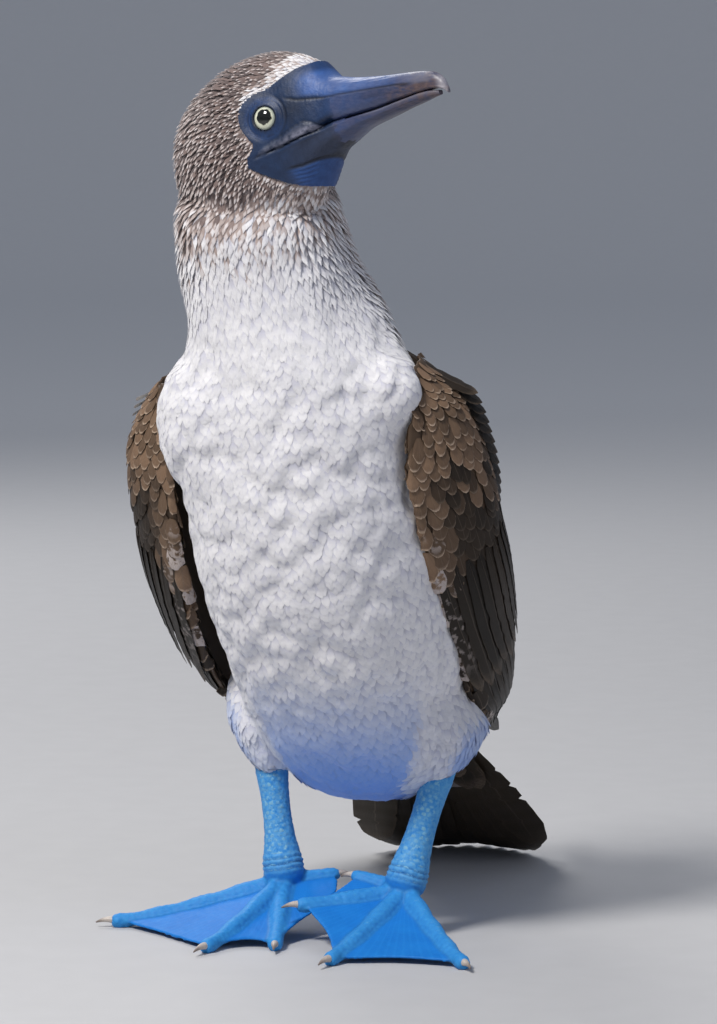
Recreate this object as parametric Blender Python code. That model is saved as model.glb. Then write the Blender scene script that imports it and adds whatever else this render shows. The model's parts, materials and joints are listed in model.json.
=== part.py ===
"""A blue footed booby standing upright, life size, its head turned to its left.

Metres, +Z up. The bird faces -Y and its left side is +X. Sizes below are in millimetres, in a
working frame whose origin lies under the ankles, and the whole bird is shifted at the end so that
the bottom centre of its box is the origin.
"""

import math
import random

import bmesh
import bpy
import numpy as np

MM = 0.001
GAP = 0.3
GROUND = -12.0
FLAT_WITHIN = math.radians(0.4)

# Body stations from the root of the tail up to the head. Each holds the forward distance and the
# height of the underside, then of the back, then the half width and the sideways place.
BODY = np.array([
    (-97, 84, -106, 116, 24, 6),
    (-62, 72, -92, 138, 44, 7),
    (-30, 61, -78, 166, 58, 9),
    (0, 59, -63, 194, 68, 11),
    (28, 77, -48, 220, 73, 10),
    (54, 108, -34, 243, 75, 7),
    (78, 143, -18, 264, 75, 2),
    (95, 182, -3, 284, 74, -3),
    (105, 222, 10, 304, 71, -7),
    (109, 260, 20, 325, 65, -8),
    (109, 296, 27, 347, 57, -10),
    (108, 326, 31, 368, 48.5, -20.5),
    (109, 350, 34, 388, 44, -27),
    (111, 371, 36, 407, 41.5, -31),
    (101, 388, 44, 420, 33, -31),
], float)
NECK_FROM = 10.4
HEAD_FROM = 12.9
BODY_TOP = 14.0
BODY_RINGS = 19
NECK_RINGS = 7
BODY_SIDES = 22

# The head has axes of its own: along the bill, to the bird's right and up through the crown.
HEAD_AT = (-6.5, 88.0, 432.0)
HEAD_TURN = math.radians(60)
HEAD_RAISE = math.radians(14)
HEAD = np.array([
    (-73, -4, -28, 10),
    (-66, 16, -45, 26),
    (-51, 28, -57, 33),
    (-29, 35.5, -60, 35),
    (-9, 38, -53, 27.5),
    (4, 36, -46, 21.5),
    (14, 32, -43, 19.5),
    (24, 26.5, -38.5, 16.5),
    (32, 21, -31.5, 14),
    (37.6, 16, -24.5, 12),
], float)
HEAD_RINGS = 15
HEAD_SIDES = 18

BILL_UPPER = np.array([
    (38, 13, -9.7, 11.5),
    (50, 9.5, -9.9, 9.6),
    (65, 6.3, -10, 7.6),
    (80, 3.8, -9.4, 6),
    (93, 1.6, -9.2, 4.7),
    (102, -1.0, -9.6, 3.6),
    (107, -5.0, -11.4, 2.3),
    (109.6, -10.4, -13.6, 0.9),
], float)
BILL_LOWER = np.array([
    (38, -10.3, -24, 10.8),
    (50, -10.5, -19.8, 8.8),
    (65, -10.6, -17.4, 6.8),
    (80, -10.0, -15.8, 5),
    (92, -9.8, -14.4, 3.6),
    (99, -10.4, -13.8, 2.4),
    (103, -11.4, -13.3, 1.2),
], float)
MOUTH = np.array([(39, -10.0), (30, -10.2), (18, -12.0), (4, -15.2), (-8, -18.0), (-17, -20.0)])
MOUTH_WIDE = 0.9
MOUTH_DEEP = 2.2
EYE_RADIUS = 7.8
EYE_OUT = 18.4
LID_OUT = 4.4
LID_RING = 6.9
LID_ROUND = 1.5

# Wing stations from the bend of the wing to its tip. Each holds the lower edge, the middle of the
# outer face and the upper edge, as distance out, forward and up, then the thickness.
WING = np.array([
    (62, 76, 296, 74, 56, 302, 60, 36, 306, 7),
    (66, 82, 255, 97, 42, 262, 50, 0, 289, 15),
    (71, 64, 205, 104, 14, 216, 40, -36, 256, 17),
    (74, 32, 158, 98, -24, 174, 31, -74, 213, 14),
    (69, -18, 110, 84, -70, 130, 23, -112, 170, 10),
    (55, -88, 90, 58, -124, 105, 20, -152, 132, 6),
    (40, -165, 77, 38, -184, 85, 20, -200, 98, 3.2),
    (30, -238, 66, 28, -241, 69, 25, -244, 71, 1.2),
], float)
WING_LAST = 7.0
WING_CORE_END = 5.4
# How far each wing stands out from the mean at places along it, and forward and up at its bend.
WING_OUT_AT = (0.0, 0.5, 1.0, 2.0, 3.0, 4.0, 5.0, 6.5)
WING_OUT = {1: (-10, -1, -6, -14, -16, -12, -6, 0), -1: (13, 14, 14, 11.5, 14.5, 13, 7, 0)}
WING_FORWARD = {1: 8.0, -1: -8.0}
WING_RISE = {1: 9.0, -1: -6.0}
WING_MIDDLE = (-6.0, 5.0)

# Tiers of wing feathers. Each holds how many, the roots of the first and last feather, their tips
# (places along and across the wing), the width, the lift of the tip and what each adds to it.
TIERS = {
    "primaries": (6, (3.4, 0.05), (3.0, 0.44), (6.98, 0.30), (5.45, 0.78), 16.0, 0.6, 0.75),
    "secondaries": (5, (2.9, 0.50), (2.1, 0.82), (5.6, 0.62), (4.5, 0.93), 20.0, 2.0, 0.5),
    "tertials": (3, (2.0, 0.84), (1.6, 0.96), (4.5, 0.93), (3.7, 1.0), 18.0, 4.4, 0.5),
    "greater": (7, (2.15, 0.07), (1.4, 0.86), (3.7, 0.08), (2.9, 0.93), 23.0, 3.0, 0.0),
    "median": (6, (1.25, 0.07), (0.85, 0.86), (2.55, 0.09), (1.95, 0.92), 25.0, 3.0, 0.0),
    "lesser": (5, (0.45, 0.10), (0.25, 0.86), (1.6, 0.11), (1.25, 0.91), 25.0, 3.0, 0.0),
    "scapulars": (4, (0.45, 0.97), (1.9, 0.99), (1.9, 0.99), (3.5, 0.99), 20.0, 3.4, 0.3),
}
LONG_TIERS = ("primaries", "secondaries", "tertials")
VANE_THICK = 0.7
VANE_SUNK = 1.8
VANE_ROLL = math.radians(5.5)

TAIL_AT = np.array((7.0, -104.0, 97.2))
TAIL_LONG = 200.0
TAIL_DROP = math.radians(38.4)
TAIL_TURN = 0.05
TAIL_LEVEL = math.radians(6)
TAIL_BEND_FROM = 0.72
TAIL_PAIRS = 6
TAIL_FAN = math.radians(17)
TAIL_ROOTS = 15.0
TAIL_WIDE = 29.0
TAIL_STEP = 1.35
TAIL_COVERTS = 4
TAIL_SHARES = (1.0, 0.98, 0.95, 0.91, 0.86, 0.79)

LEGS = {
    1: dict(top=(50.5, 0.0, 74.0), ankle=(36.0, 14.0, 17.0)),
    -1: dict(top=(-45.0, -8.0, 73.0), ankle=(-36.0, 0.0, 17.0)),
}
LEG_RADII = (9.2, 8.0, 7.9, 8.8, 11.2)
ANKLE_UP = 7.0

# Toe tips in the order hallux, inner, middle and outer, where the claw begins.
TOES = {
    1: ((8.0, 9.0, 19.0), (-14.0, 44.0, 8.5), (15.5, 98.0, -8.6), (85.0, 91.0, -8.6)),
    -1: ((-10.0, -10.0, 16.0), (-23.0, 68.0, -8.6), (-57.0, 82.0, -8.6), (-124.0, 27.0, -8.6)),
}
TOE_ROUND = (6.4, 4.2)
CLAW_LONG = (9.0, 11.0, 13.0, 11.0)
CLAW_ROUND = 2.5
WEB_THICK = 1.5
WEB_SCALLOP = 0.13

COLOURS = {
    "plumage_white": ((0.80, 0.79, 0.80), 0.75),
    "plumage_brown": ((0.30, 0.23, 0.18), 0.75),
    "wing_brown": ((0.055, 0.038, 0.028), 0.6),
    "tail_brown": ((0.035, 0.028, 0.026), 0.6),
    "bill_slate": ((0.10, 0.14, 0.27), 0.4),
    "eye_pale": ((0.80, 0.78, 0.55), 0.15),
    "foot_blue": ((0.02, 0.22, 0.62), 0.45),
    "claw_horn": ((0.45, 0.38, 0.30), 0.4),
}

random.seed(11)


def clear_scene():
    for old in list(bpy.data.objects):
        bpy.data.objects.remove(old)


def world(point):
    """Out, forward and up in millimetres as x, y and z."""
    point = np.asarray(point, float)
    return np.stack([point[..., 0], -point[..., 1], point[..., 2]], -1)


def unit(vector):
    vector = np.asarray(vector, float)
    return vector / max(np.linalg.norm(vector), 1e-9)


def along(rows, t):
    """The rows read at a fractional place, on a smooth curve through all of them."""
    last = len(rows) - 1
    t = min(max(t, 0.0), float(last))
    i = min(int(t), last - 1)
    f = t - i
    before = rows[i - 1] if i > 0 else 2 * rows[i] - rows[i + 1]
    after = rows[i + 2] if i + 2 <= last else 2 * rows[i + 1] - rows[i]
    here, there = rows[i], rows[i + 1]
    return here + 0.5 * f * (
        there - before + f * (
            2 * before - 5 * here + 4 * there - after + f * (3 * (here - there) + after - before)
        )
    )


def solid(name, points, faces):
    """A closed mesh object from points in millimetres, with its faces turned outwards."""
    mesh = bpy.data.meshes.new(name)
    mesh.from_pydata([tuple(p) for p in np.asarray(points) * MM], [], faces)
    form = bmesh.new()
    form.from_mesh(mesh)
    bmesh.ops.remove_doubles(form, verts=form.verts, dist=1e-7)
    bmesh.ops.recalc_face_normals(form, faces=form.faces)
    bmesh.ops.triangulate(form, faces=form.faces)
    if form.calc_volume(signed=True) < 0:
        bmesh.ops.reverse_faces(form, faces=form.faces)
    form.to_mesh(mesh)
    form.free()
    body = bpy.data.objects.new(name, mesh)
    bpy.context.scene.collection.objects.link(body)
    return body


def loft(name, rings):
    """Rings of equally many points joined by bands and closed at both ends."""
    sides = len(rings[0])
    points = np.concatenate([np.asarray(ring) for ring in rings])
    faces = [tuple(range(sides))]
    for k in range(len(rings) - 1):
        a = k * sides
        for j in range(sides):
            n = (j + 1) % sides
            faces.append((a + j, a + n, a + sides + n, a + sides + j))
    start = (len(rings) - 1) * sides
    faces.append(tuple(range(start, start + sides)))
    return solid(name, points, faces)


def oval(centre, across, up, sides, square=1.0):
    """One closed ring about a centre. Below 1, square makes the oval fuller."""
    ring = []
    for j in range(sides):
        turn = 2 * math.pi * j / sides
        c, s = math.cos(turn), math.sin(turn)
        c = math.copysign(abs(c) ** square, c)
        s = math.copysign(abs(s) ** square, s)
        ring.append(np.asarray(centre) + c * np.asarray(across) + s * np.asarray(up))
    return ring


def tube(name, points, radii, sides=10):
    """A round limb through points, its ends closed."""
    points = [np.asarray(p, float) for p in points]
    rings = []
    side = None
    for k, here in enumerate(points):
        ahead = points[min(k + 1, len(points) - 1)] - points[max(k - 1, 0)]
        ahead = unit(ahead)
        first = side if side is not None else np.array((0.31, 0.17, 0.93))
        side = unit(first - ahead * first.dot(ahead))
        rings.append(oval(here, side * radii[k], np.cross(ahead, side) * radii[k], sides))
    return loft(name, rings)


def applied(body):
    """The object's modifiers turned into its mesh."""
    graph = bpy.context.evaluated_depsgraph_get()
    graph.update()
    mesh = bpy.data.meshes.new_from_object(body.evaluated_get(graph))
    body.modifiers.clear()
    old = body.data
    body.data = mesh
    bpy.data.meshes.remove(old)


def boolean(body, others, operation):
    group = bpy.data.collections.new("tools")
    bpy.context.scene.collection.children.link(group)
    for other in others:
        group.objects.link(other)
    step = body.modifiers.new("join", "BOOLEAN")
    step.operand_type = "COLLECTION"
    step.collection = group
    step.operation = operation
    step.solver = "MANIFOLD"
    applied(body)
    for other in others:
        bpy.data.objects.remove(other)
    bpy.data.collections.remove(group)
    keep_largest(body)


def keep_largest(body):
    """Crumbs left by a cut are dropped, only the largest closed surface stays, and flat faces join up."""
    form = bmesh.new()
    form.from_mesh(body.data)
    left = set(form.faces)
    shells = []
    while left:
        seed = left.pop()
        shell, edge = [seed], [seed]
        while edge:
            face = edge.pop()
            for side in face.edges:
                for other in side.link_faces:
                    if other in left:
                        left.remove(other)
                        shell.append(other)
                        edge.append(other)
        shells.append(shell)
    shells.sort(key=lambda shell: sum(face.calc_area() for face in shell))
    for shell in shells[:-1]:
        bmesh.ops.delete(form, geom=shell, context="FACES")
    loose = [vert for vert in form.verts if not vert.link_faces]
    bmesh.ops.delete(form, geom=loose, context="VERTS")
    bmesh.ops.dissolve_limit(form, angle_limit=FLAT_WITHIN, verts=form.verts, edges=form.edges)
    bmesh.ops.triangulate(form, faces=form.faces)
    form.to_mesh(body.data)
    form.free()


def slab(name, low, high):
    """A box between two corners in millimetres."""
    points = [(x, y, z) for x in (low[0], high[0]) for y in (low[1], high[1]) for z in (low[2], high[2])]
    faces = [(0, 1, 3, 2), (4, 6, 7, 5), (0, 4, 5, 1), (2, 3, 7, 6), (0, 2, 6, 4), (1, 5, 7, 3)]
    return solid(name, points, faces)


def level(body):
    """Whatever would reach below the floor is cut off flat."""
    boolean(body, [slab("below", (-500, -500, GROUND - 200), (500, 500, GROUND))], "DIFFERENCE")


def body_ring(t, grow=0.0, sides=BODY_SIDES):
    under_f, under_z, back_f, back_z, half, middle = along(BODY, t)
    under = world((middle, under_f, under_z))
    back = world((middle, back_f, back_z))
    up = (back - under) / 2
    up = up + unit(up) * grow
    square = float(np.interp(t, (5, 8), (0.86, 0.94)))
    return oval((under + back) / 2, (half + grow, 0, 0), up, sides, square)


def body_part(name, start, end, count, grow=0.0):
    rings = [body_ring(start + (end - start) * k / (count - 1), grow) for k in range(count)]
    return loft(name, rings)


def spine_step(t):
    """How far in millimetres the middle of the body moves for one station, about a place."""
    low, high = along(BODY, t - 0.1), along(BODY, t + 0.1)
    move = world((high[5] - low[5], (high[0] + high[2] - low[0] - low[2]) / 2,
                  (high[1] + high[3] - low[1] - low[3]) / 2))
    return np.linalg.norm(move) / 0.2


def head_axes():
    forward = np.array((
        math.cos(HEAD_RAISE) * math.sin(HEAD_TURN),
        -math.cos(HEAD_RAISE) * math.cos(HEAD_TURN),
        math.sin(HEAD_RAISE),
    ))
    right = np.array((-math.cos(HEAD_TURN), -math.sin(HEAD_TURN), 0.0))
    return forward, right, np.cross(right, forward)


def head_point(f, r, u):
    forward, right, up = head_axes()
    return world(HEAD_AT) + forward * f + right * r + up * u


def head_rings(rows, count, sides, square):
    forward, right, up = head_axes()
    rings = []
    for k in range(count):
        f, top, bottom, half = along(rows, (len(rows) - 1) * k / (count - 1))
        middle = head_point(f, 0, (top + bottom) / 2)
        rings.append(oval(middle, right * half, up * (top - bottom) / 2, sides, square))
    return rings


def skull_half(f):
    """Half the head's width at a distance along the bill."""
    return float(np.interp(f, HEAD[:, 0], HEAD[:, 3]))


def ball(name, centre, radius, rings=9, sides=14):
    forward, right, up = head_axes()
    made = []
    for k in range(rings):
        turn = math.pi * (k + 0.5) / rings
        out = math.cos(turn) * radius
        wide = math.sin(turn) * radius
        made.append(oval(np.asarray(centre) + right * out, forward * wide, up * wide, sides))
    return loft(name, made)


def lid_ring(centre, side):
    """The fleshy ring of lids about one eye."""
    forward, right, up = head_axes()
    sides, turns = 5, 16
    points, faces = [], []
    for k in range(turns):
        a = 2 * math.pi * k / turns
        out = forward * math.cos(a) * 1.04 + up * math.sin(a) * 0.94
        for j in range(sides):
            b = 2 * math.pi * j / sides
            points.append(centre + out * (LID_RING + LID_ROUND * math.cos(b))
                          + right * side * LID_ROUND * 1.1 * math.sin(b))
            n, m = (k + 1) % turns, (j + 1) % sides
            faces.append((k * sides + j, n * sides + j, n * sides + m, k * sides + m))
    return solid("lids", points, faces)


def mouth_cutter(side):
    """A thin strip that cuts the line of the mouth into one cheek."""
    points = []
    for f, u in MOUTH:
        deep = skull_half(f) * 0.97 - MOUTH_DEEP
        for r in (deep * side, 60.0 * side):
            for w in (-MOUTH_WIDE / 2, MOUTH_WIDE / 2):
                points.append(head_point(f, r, u + w))
    faces = [(0, 1, 3, 2)]
    for k in range(len(MOUTH) - 1):
        a = 4 * k
        for j, n in ((0, 1), (1, 3), (3, 2), (2, 0)):
            faces.append((a + j, a + n, a + 4 + n, a + 4 + j))
    end = 4 * (len(MOUTH) - 1)
    faces.append((end, end + 2, end + 3, end + 1))
    return solid("mouth", points, faces)


def make_head():
    head = loft("head", head_rings(HEAD, HEAD_RINGS, HEAD_SIDES, 0.92))
    # Its lower side takes in the top of the neck, and a plane across the neck ends it.
    throat = body_part("throat", HEAD_FROM - 1.5, BODY_TOP, 6)
    boolean(head, [throat], "UNION")
    plane = body_ring(HEAD_FROM)
    middle = np.mean(plane, axis=0)
    normal = unit(np.cross(plane[0] - middle, plane[BODY_SIDES // 4] - middle))
    if normal[2] < 0:
        normal = -normal
    cut_plane(head, middle + normal * GAP, normal)
    eyes = []
    lids = []
    sockets = []
    for side, name in ((1, "eye_right"), (-1, "eye_left")):
        centre = head_point(0, EYE_OUT * side, 0)
        lids.append(lid_ring(head_point(0, (EYE_OUT + LID_OUT) * side, 0), side))
        sockets.append(ball("socket", centre, EYE_RADIUS + GAP))
        eyes.append(ball(name, centre, EYE_RADIUS))
    boolean(head, lids, "UNION")
    boolean(head, sockets + [mouth_cutter(1), mouth_cutter(-1)], "DIFFERENCE")
    return head, eyes


def cut_plane(body, place, normal):
    """Keeps what lies on the normal's side of a plane and closes the cut."""
    form = bmesh.new()
    form.from_mesh(body.data)
    whole = form.verts[:] + form.edges[:] + form.faces[:]
    cut = bmesh.ops.bisect_plane(
        form, geom=whole, dist=1e-7, plane_co=tuple(np.asarray(place) * MM),
        plane_no=tuple(normal), clear_inner=True,
    )
    rim = [part for part in cut["geom_cut"] if isinstance(part, bmesh.types.BMEdge)]
    bmesh.ops.holes_fill(form, edges=rim, sides=0)
    bmesh.ops.recalc_face_normals(form, faces=form.faces)
    bmesh.ops.triangulate(form, faces=form.faces)
    form.to_mesh(body.data)
    form.free()


def wing_row(side, t):
    """The lower edge, the outer middle and the upper edge at one place, with the thickness there."""
    row = along(WING, t)
    ease = max(0.0, 1 - t / 6.0)
    middle = WING_MIDDLE[0] + (WING_MIDDLE[1] - WING_MIDDLE[0]) * min(1.0, t / 3.0)
    made = []
    wide = float(np.interp(t, WING_OUT_AT, WING_OUT[side]))
    rise = WING_RISE[side] * max(0.0, 1 - t / 1.5)
    for k, share in ((0, 0.6), (3, 1.0), (6, 0.4)):
        out = row[k] + wide * share
        forward = row[k + 1] + WING_FORWARD[side] * ease
        made.append(world((middle + side * out, forward, row[k + 2] + rise)))
    return made[0], made[1], made[2], row[9]


def wing_face(side, t, v):
    """A point on the outer face, v running from the lower edge at 0 to the upper edge at 1."""
    low, mid, high, _ = wing_row(side, t)
    bend = 2 * mid - (low + high) / 2
    return low * (1 - v) ** 2 + bend * 2 * v * (1 - v) + high * v * v


def wing_frame(side, t, v):
    """The point, the direction towards the tip, the way across and the way out of the face."""
    here = wing_face(side, t, v)
    if t < 6.9:
        ahead = unit(wing_face(side, t + 0.08, v) - here)
    else:
        ahead = unit(here - wing_face(side, t - 0.08, v))
    across = wing_face(side, t, min(1.0, v + 0.04)) - wing_face(side, t, max(0.0, v - 0.04))
    out = unit(np.cross(ahead, across)) * side
    if out.dot(np.array((side, 0, 0.2))) < 0:
        out = -out
    across = unit(np.cross(out, ahead))
    return here, ahead, across, out


def wing_core(side):
    rings = []
    count, half = 11, 5
    for k in range(count):
        t = WING_CORE_END * k / (count - 1)
        thick = wing_row(side, t)[3]
        # The front end is rounded off.
        full = math.sqrt(min(1.0, 0.12 + 2.2 * t))
        ring = []
        for j in range(half + 1):
            v = 0.02 + 0.96 * j / half
            here, _, _, out = wing_frame(side, t, v)
            bulge = math.sin(math.pi * min(max(v, 0.0), 1.0)) ** 0.6
            ring.append((here, out * thick * full * (0.12 + 0.88 * bulge)))
        outer = [here for here, _ in ring]
        inner = [here - deep for here, deep in ring][::-1]
        rings.append(outer + inner)
    return loft("wing", rings)


def vane(path, width, thick):
    """One feather as a tapered vane. The path gives its points, ways across and ways out."""
    rings = []
    last = len(path) - 1
    for k, (here, across, out) in enumerate(path):
        share = k / last
        wide = width / 2 * float(np.interp(share, (0, 0.3, 0.65, 0.88, 1), (0.36, 0.86, 1.0, 0.8, 0.3)))
        deep = thick * (1.3 - 0.55 * share)
        rings.append([here - across * wide, here + across * wide,
                      here + across * wide - out * deep, here - across * wide - out * deep])
    points = np.concatenate([np.asarray(ring) for ring in rings])
    faces = [(0, 1, 2), (0, 2, 3)]
    for k in range(last):
        a, b = 4 * k, 4 * k + 4
        # The upper and the lower face are split along the same diagonals.
        faces += [(a, a + 1, b + 1), (a, b + 1, b)]
        faces += [(a + 3, b + 2, a + 2), (a + 3, b + 3, b + 2)]
        faces += [(a + 1, a + 2, b + 2), (a + 1, b + 2, b + 1)]
        faces += [(a + 3, a, b), (a + 3, b, b + 3)]
    a = 4 * last
    faces += [(a, a + 2, a + 1), (a, a + 3, a + 2)]
    return solid("vane", points, faces)


def wing_vane(side, root, tip, width, lift, pieces):
    """A vane that follows the outer face from its root to its tip, its lower edge uppermost."""
    path = []
    for k in range(pieces + 1):
        s = k / pieces
        t = root[0] + (tip[0] - root[0]) * s
        v = root[1] + (tip[1] - root[1]) * s
        here, _, across, out = wing_frame(side, min(t, WING_LAST), min(v, 1.0))
        if across.dot(wing_face(side, t, 1.0) - wing_face(side, t, 0.0)) < 0:
            across = -across
        rolled = across * math.cos(VANE_ROLL) - out * math.sin(VANE_ROLL)
        raised = out * math.cos(VANE_ROLL) + across * math.sin(VANE_ROLL)
        rise = -VANE_SUNK + (lift + VANE_SUNK) * s
        path.append((here + out * rise, rolled, raised))
    return vane(path, width, VANE_THICK)


def make_wing(side, name):
    wing = wing_core(side)
    wing.name = name
    vanes = []
    for tier, (count, root_a, root_b, tip_a, tip_b, width, lift, more) in TIERS.items():
        pieces = 4 if tier in LONG_TIERS else 3
        for i in range(count):
            f = i / (count - 1)
            root = [root_a[j] + (root_b[j] - root_a[j]) * f for j in (0, 1)]
            tip = [tip_a[j] + (tip_b[j] - tip_a[j]) * f for j in (0, 1)]
            tip[0] = min(WING_LAST - 0.02, tip[0] + random.uniform(-0.04, 0.04))
            vanes.append(wing_vane(side, root, tip, width, lift + more * i, pieces))
    boolean(wing, vanes, "UNION")
    return wing


def tail_line(share):
    """The distance back and the height of the tail's middle line, with its slope there."""
    steps = 24
    back, high = 0.0, 0.0
    slope = TAIL_DROP
    for k in range(int(round(share * steps))):
        at = (k + 0.5) / steps
        ease = min(max((at - TAIL_BEND_FROM) / (1 - TAIL_BEND_FROM), 0.0), 1.0)
        slope = TAIL_DROP + (TAIL_LEVEL - TAIL_DROP) * ease
        back += math.cos(slope) * TAIL_LONG / steps
        high -= math.sin(slope) * TAIL_LONG / steps
    return back, high, slope


def tail_vane(place, turn, start, end, height, width, pieces, roll):
    """A tail feather from one share of the tail's length to another, fanned out by an angle."""
    path = []
    for k in range(pieces + 1):
        share = start + (end - start) * k / pieces
        back, high, slope = tail_line(share)
        out = np.array((0.0, math.sin(slope), math.cos(slope)))
        level_way = np.array((0.0, math.cos(slope), -math.sin(slope)))
        across = np.array((math.cos(turn), 0.0, 0.0)) - level_way * math.sin(turn)
        ahead = np.array((math.sin(turn), 0.0, 0.0)) + level_way * math.cos(turn)
        rolled = across * math.cos(roll) + out * math.sin(roll)
        raised = np.cross(rolled, ahead)
        if raised.dot(out) < 0:
            raised = -raised
        centre = world(TAIL_AT + np.array((place + back * (math.tan(turn) + TAIL_TURN), -back, high)))
        path.append((centre + out * height, rolled, raised))
    return vane(path, width, VANE_THICK)


def make_tail():
    rings = []
    for share, half, deep in ((0.0, 21, 14), (0.17, 23, 10.5), (0.34, 25, 6), (0.46, 24, 2.6)):
        back, high, slope = tail_line(share)
        centre = world(TAIL_AT + np.array((back * TAIL_TURN, -back, high)))
        up = np.array((0, math.sin(slope), math.cos(slope))) * deep
        rings.append(oval(centre, (half, 0, 0), up, 14))
    tail = loft("tail", rings)
    vanes = []
    for i, share in enumerate(TAIL_SHARES):
        for side in (1, -1):
            f = (i + 0.5) / TAIL_PAIRS
            height = 3.0 - TAIL_STEP * (i + (0.5 if side < 0 else 0.0))
            vanes.append(tail_vane(side * TAIL_ROOTS * f, side * TAIL_FAN * f, 0.12, share,
                                   height, TAIL_WIDE, 4, side * math.radians(-1.5)))
    for k in range(TAIL_COVERTS):
        f = 2 * k / (TAIL_COVERTS - 1) - 1
        far = abs(f)
        above = 7.5 - 2.5 * far
        vanes.append(tail_vane(f * 16, f * TAIL_FAN * 0.8, 0.02, 0.42 - 0.05 * far, above, 21, 3, 0.0))
        vanes.append(tail_vane(f * 16, f * TAIL_FAN * 0.8, 0.02, 0.54 - 0.05 * far, far - 7.5, 21, 3, 0.0))
    boolean(tail, vanes, "UNION")
    return tail


def make_thigh(side, grow=0.0):
    leg = LEGS[side]
    top = world(leg["top"])
    axis = unit(top - world(leg["ankle"]))
    hip = top + axis * 62 + np.array((-3.0 if side > 0 else 0.0, 14.0, 0))
    rings = []
    rows = ((0.0, 11.5, 12.5), (0.12, 17, 19), (0.3, 23, 27), (0.52, 27, 33), (0.75, 26, 32), (0.9, 19, 24),
            (0.98, 9, 11))
    for k, (share, wide, deep) in enumerate(rows):
        centre = top + (hip - top) * share
        if k in (0, len(rows) - 1):
            centre = centre + unit(hip - top) * math.copysign(grow * 1.1, k - 1)
        rings.append(oval(centre, (wide + grow, 0, 0), (0, deep + grow, 0), 16))
    return loft("thigh", rings)


def leg_tube(side, name, grow=0.0):
    leg = LEGS[side]
    top, ankle = world(leg["top"]), world(leg["ankle"])
    axis = unit(top - ankle)
    end = ankle + axis * ANKLE_UP
    points = [top + (end - top) * k / 4 for k in range(5)]
    radii = [radius + grow for radius in (LEG_RADII[0],) + LEG_RADII]
    return tube(name, [top + axis * 4] + points, radii, 12)


def make_leg(side, name):
    leg = leg_tube(side, name)
    boolean(leg, [make_thigh(side, GAP)], "DIFFERENCE")
    return leg


def toe_points(side, which):
    """The line of one toe from the ankle to where its claw begins, a little arched."""
    ankle = world(LEGS[side]["ankle"])
    tip = world(TOES[side][which])
    points = []
    for k in range(7):
        s = k / 6
        here = ankle + (tip - ankle) * s
        here[2] = ankle[2] - 4 + (tip[2] - ankle[2] + 4) * (1 - (1 - s) ** 1.35)
        points.append(here)
    return points


def web_sheet(side):
    """The skin that joins all four toes, as one thin sheet with its front edge hollowed."""
    spokes = []
    per = 4
    for which in range(3):
        first, second = toe_points(side, which), toe_points(side, which + 1)
        for k in range(per):
            b = k / per
            spokes.append((first, second, b))
    spokes.append((toe_points(side, 3), toe_points(side, 3), 0.0))
    along_toe = 6
    rows = []
    for first, second, b in spokes:
        reach = 0.97 - WEB_SCALLOP * math.sin(math.pi * b)
        row = []
        for k in range(along_toe):
            s = (0.04 + 0.96 * k / (along_toe - 1)) * reach
            i = min(int(s * 6), 5)
            f = s * 6 - i
            one = first[i] * (1 - f) + first[i + 1] * f
            two = second[i] * (1 - f) + second[i + 1] * f
            start = first[0]
            here = one * (1 - b) + two * b
            # The fan keeps its reach between two toes that stand wide apart.
            length = np.linalg.norm(one - start) * (1 - b) + np.linalg.norm(two - start) * b
            here = start + unit(here - start) * length
            row.append(here)
        rows.append(row)
    points, faces = [], []
    count = len(rows)
    for lift in (0.5, -0.5):
        for row in rows:
            for here in row:
                points.append(here + np.array((0, 0, lift * WEB_THICK)))
    under = count * along_toe
    for i in range(count - 1):
        for k in range(along_toe - 1):
            a = i * along_toe + k
            b = a + along_toe
            faces += [(a, a + 1, b + 1), (a, b + 1, b)]
            faces += [(under + a, under + b + 1, under + a + 1), (under + a, under + b, under + b + 1)]
    rim = [k for k in range(along_toe)]
    rim += [i * along_toe + along_toe - 1 for i in range(1, count)]
    rim += [(count - 1) * along_toe + k for k in range(along_toe - 2, -1, -1)]
    rim += [i * along_toe for i in range(count - 2, 0, -1)]
    for k, a in enumerate(rim):
        b = rim[(k + 1) % len(rim)]
        faces += [(a, b, under + b), (a, under + b, under + a)]
    return solid("web", points, faces)


def make_foot(side, name):
    leg = LEGS[side]
    ankle = world(leg["ankle"])
    axis = unit(world(leg["top"]) - ankle)
    start = ankle + axis * (ANKLE_UP - GAP)
    low = ankle - np.array((0, 0, 9.0))
    foot = tube(name, [start, ankle + axis * 2, ankle - np.array((0, 0, 4.0)), low],
                (LEG_RADII[-1], 11.6, 10.6, 5.5), 12)
    pieces = [web_sheet(side)]
    for which in range(4):
        line = toe_points(side, which)
        thin = 0.82 if which == 0 else 1.0
        radii = []
        for k in range(7):
            s = k / 6
            knuckle = 0.35 * math.cos(2 * math.pi * s * (1 + which))
            radii.append(thin * (TOE_ROUND[0] * (1 - s) + TOE_ROUND[1] * s + knuckle))
        pieces.append(tube("toe", line, radii, 7))
    boolean(foot, pieces, "UNION")
    level(foot)
    return foot


def make_claw(side, which, name):
    line = toe_points(side, which)
    ahead = unit(line[-1] - line[-2])
    first = line[-1] + ahead * GAP
    start = first + ahead
    flat = unit(np.array((ahead[0], ahead[1], 0.0)))
    points, radii = [first], [CLAW_ROUND]
    for k in range(5):
        s = k / 4
        here = start + flat * CLAW_LONG[which] * s
        here[2] = start[2] + 1.2 * math.sin(math.pi * s * 0.8) - 1.4 * s * s
        points.append(here)
        radii.append(CLAW_ROUND * (1 - 0.86 * s ** 1.3))
    return tube(name, points, radii, 8)


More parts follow.
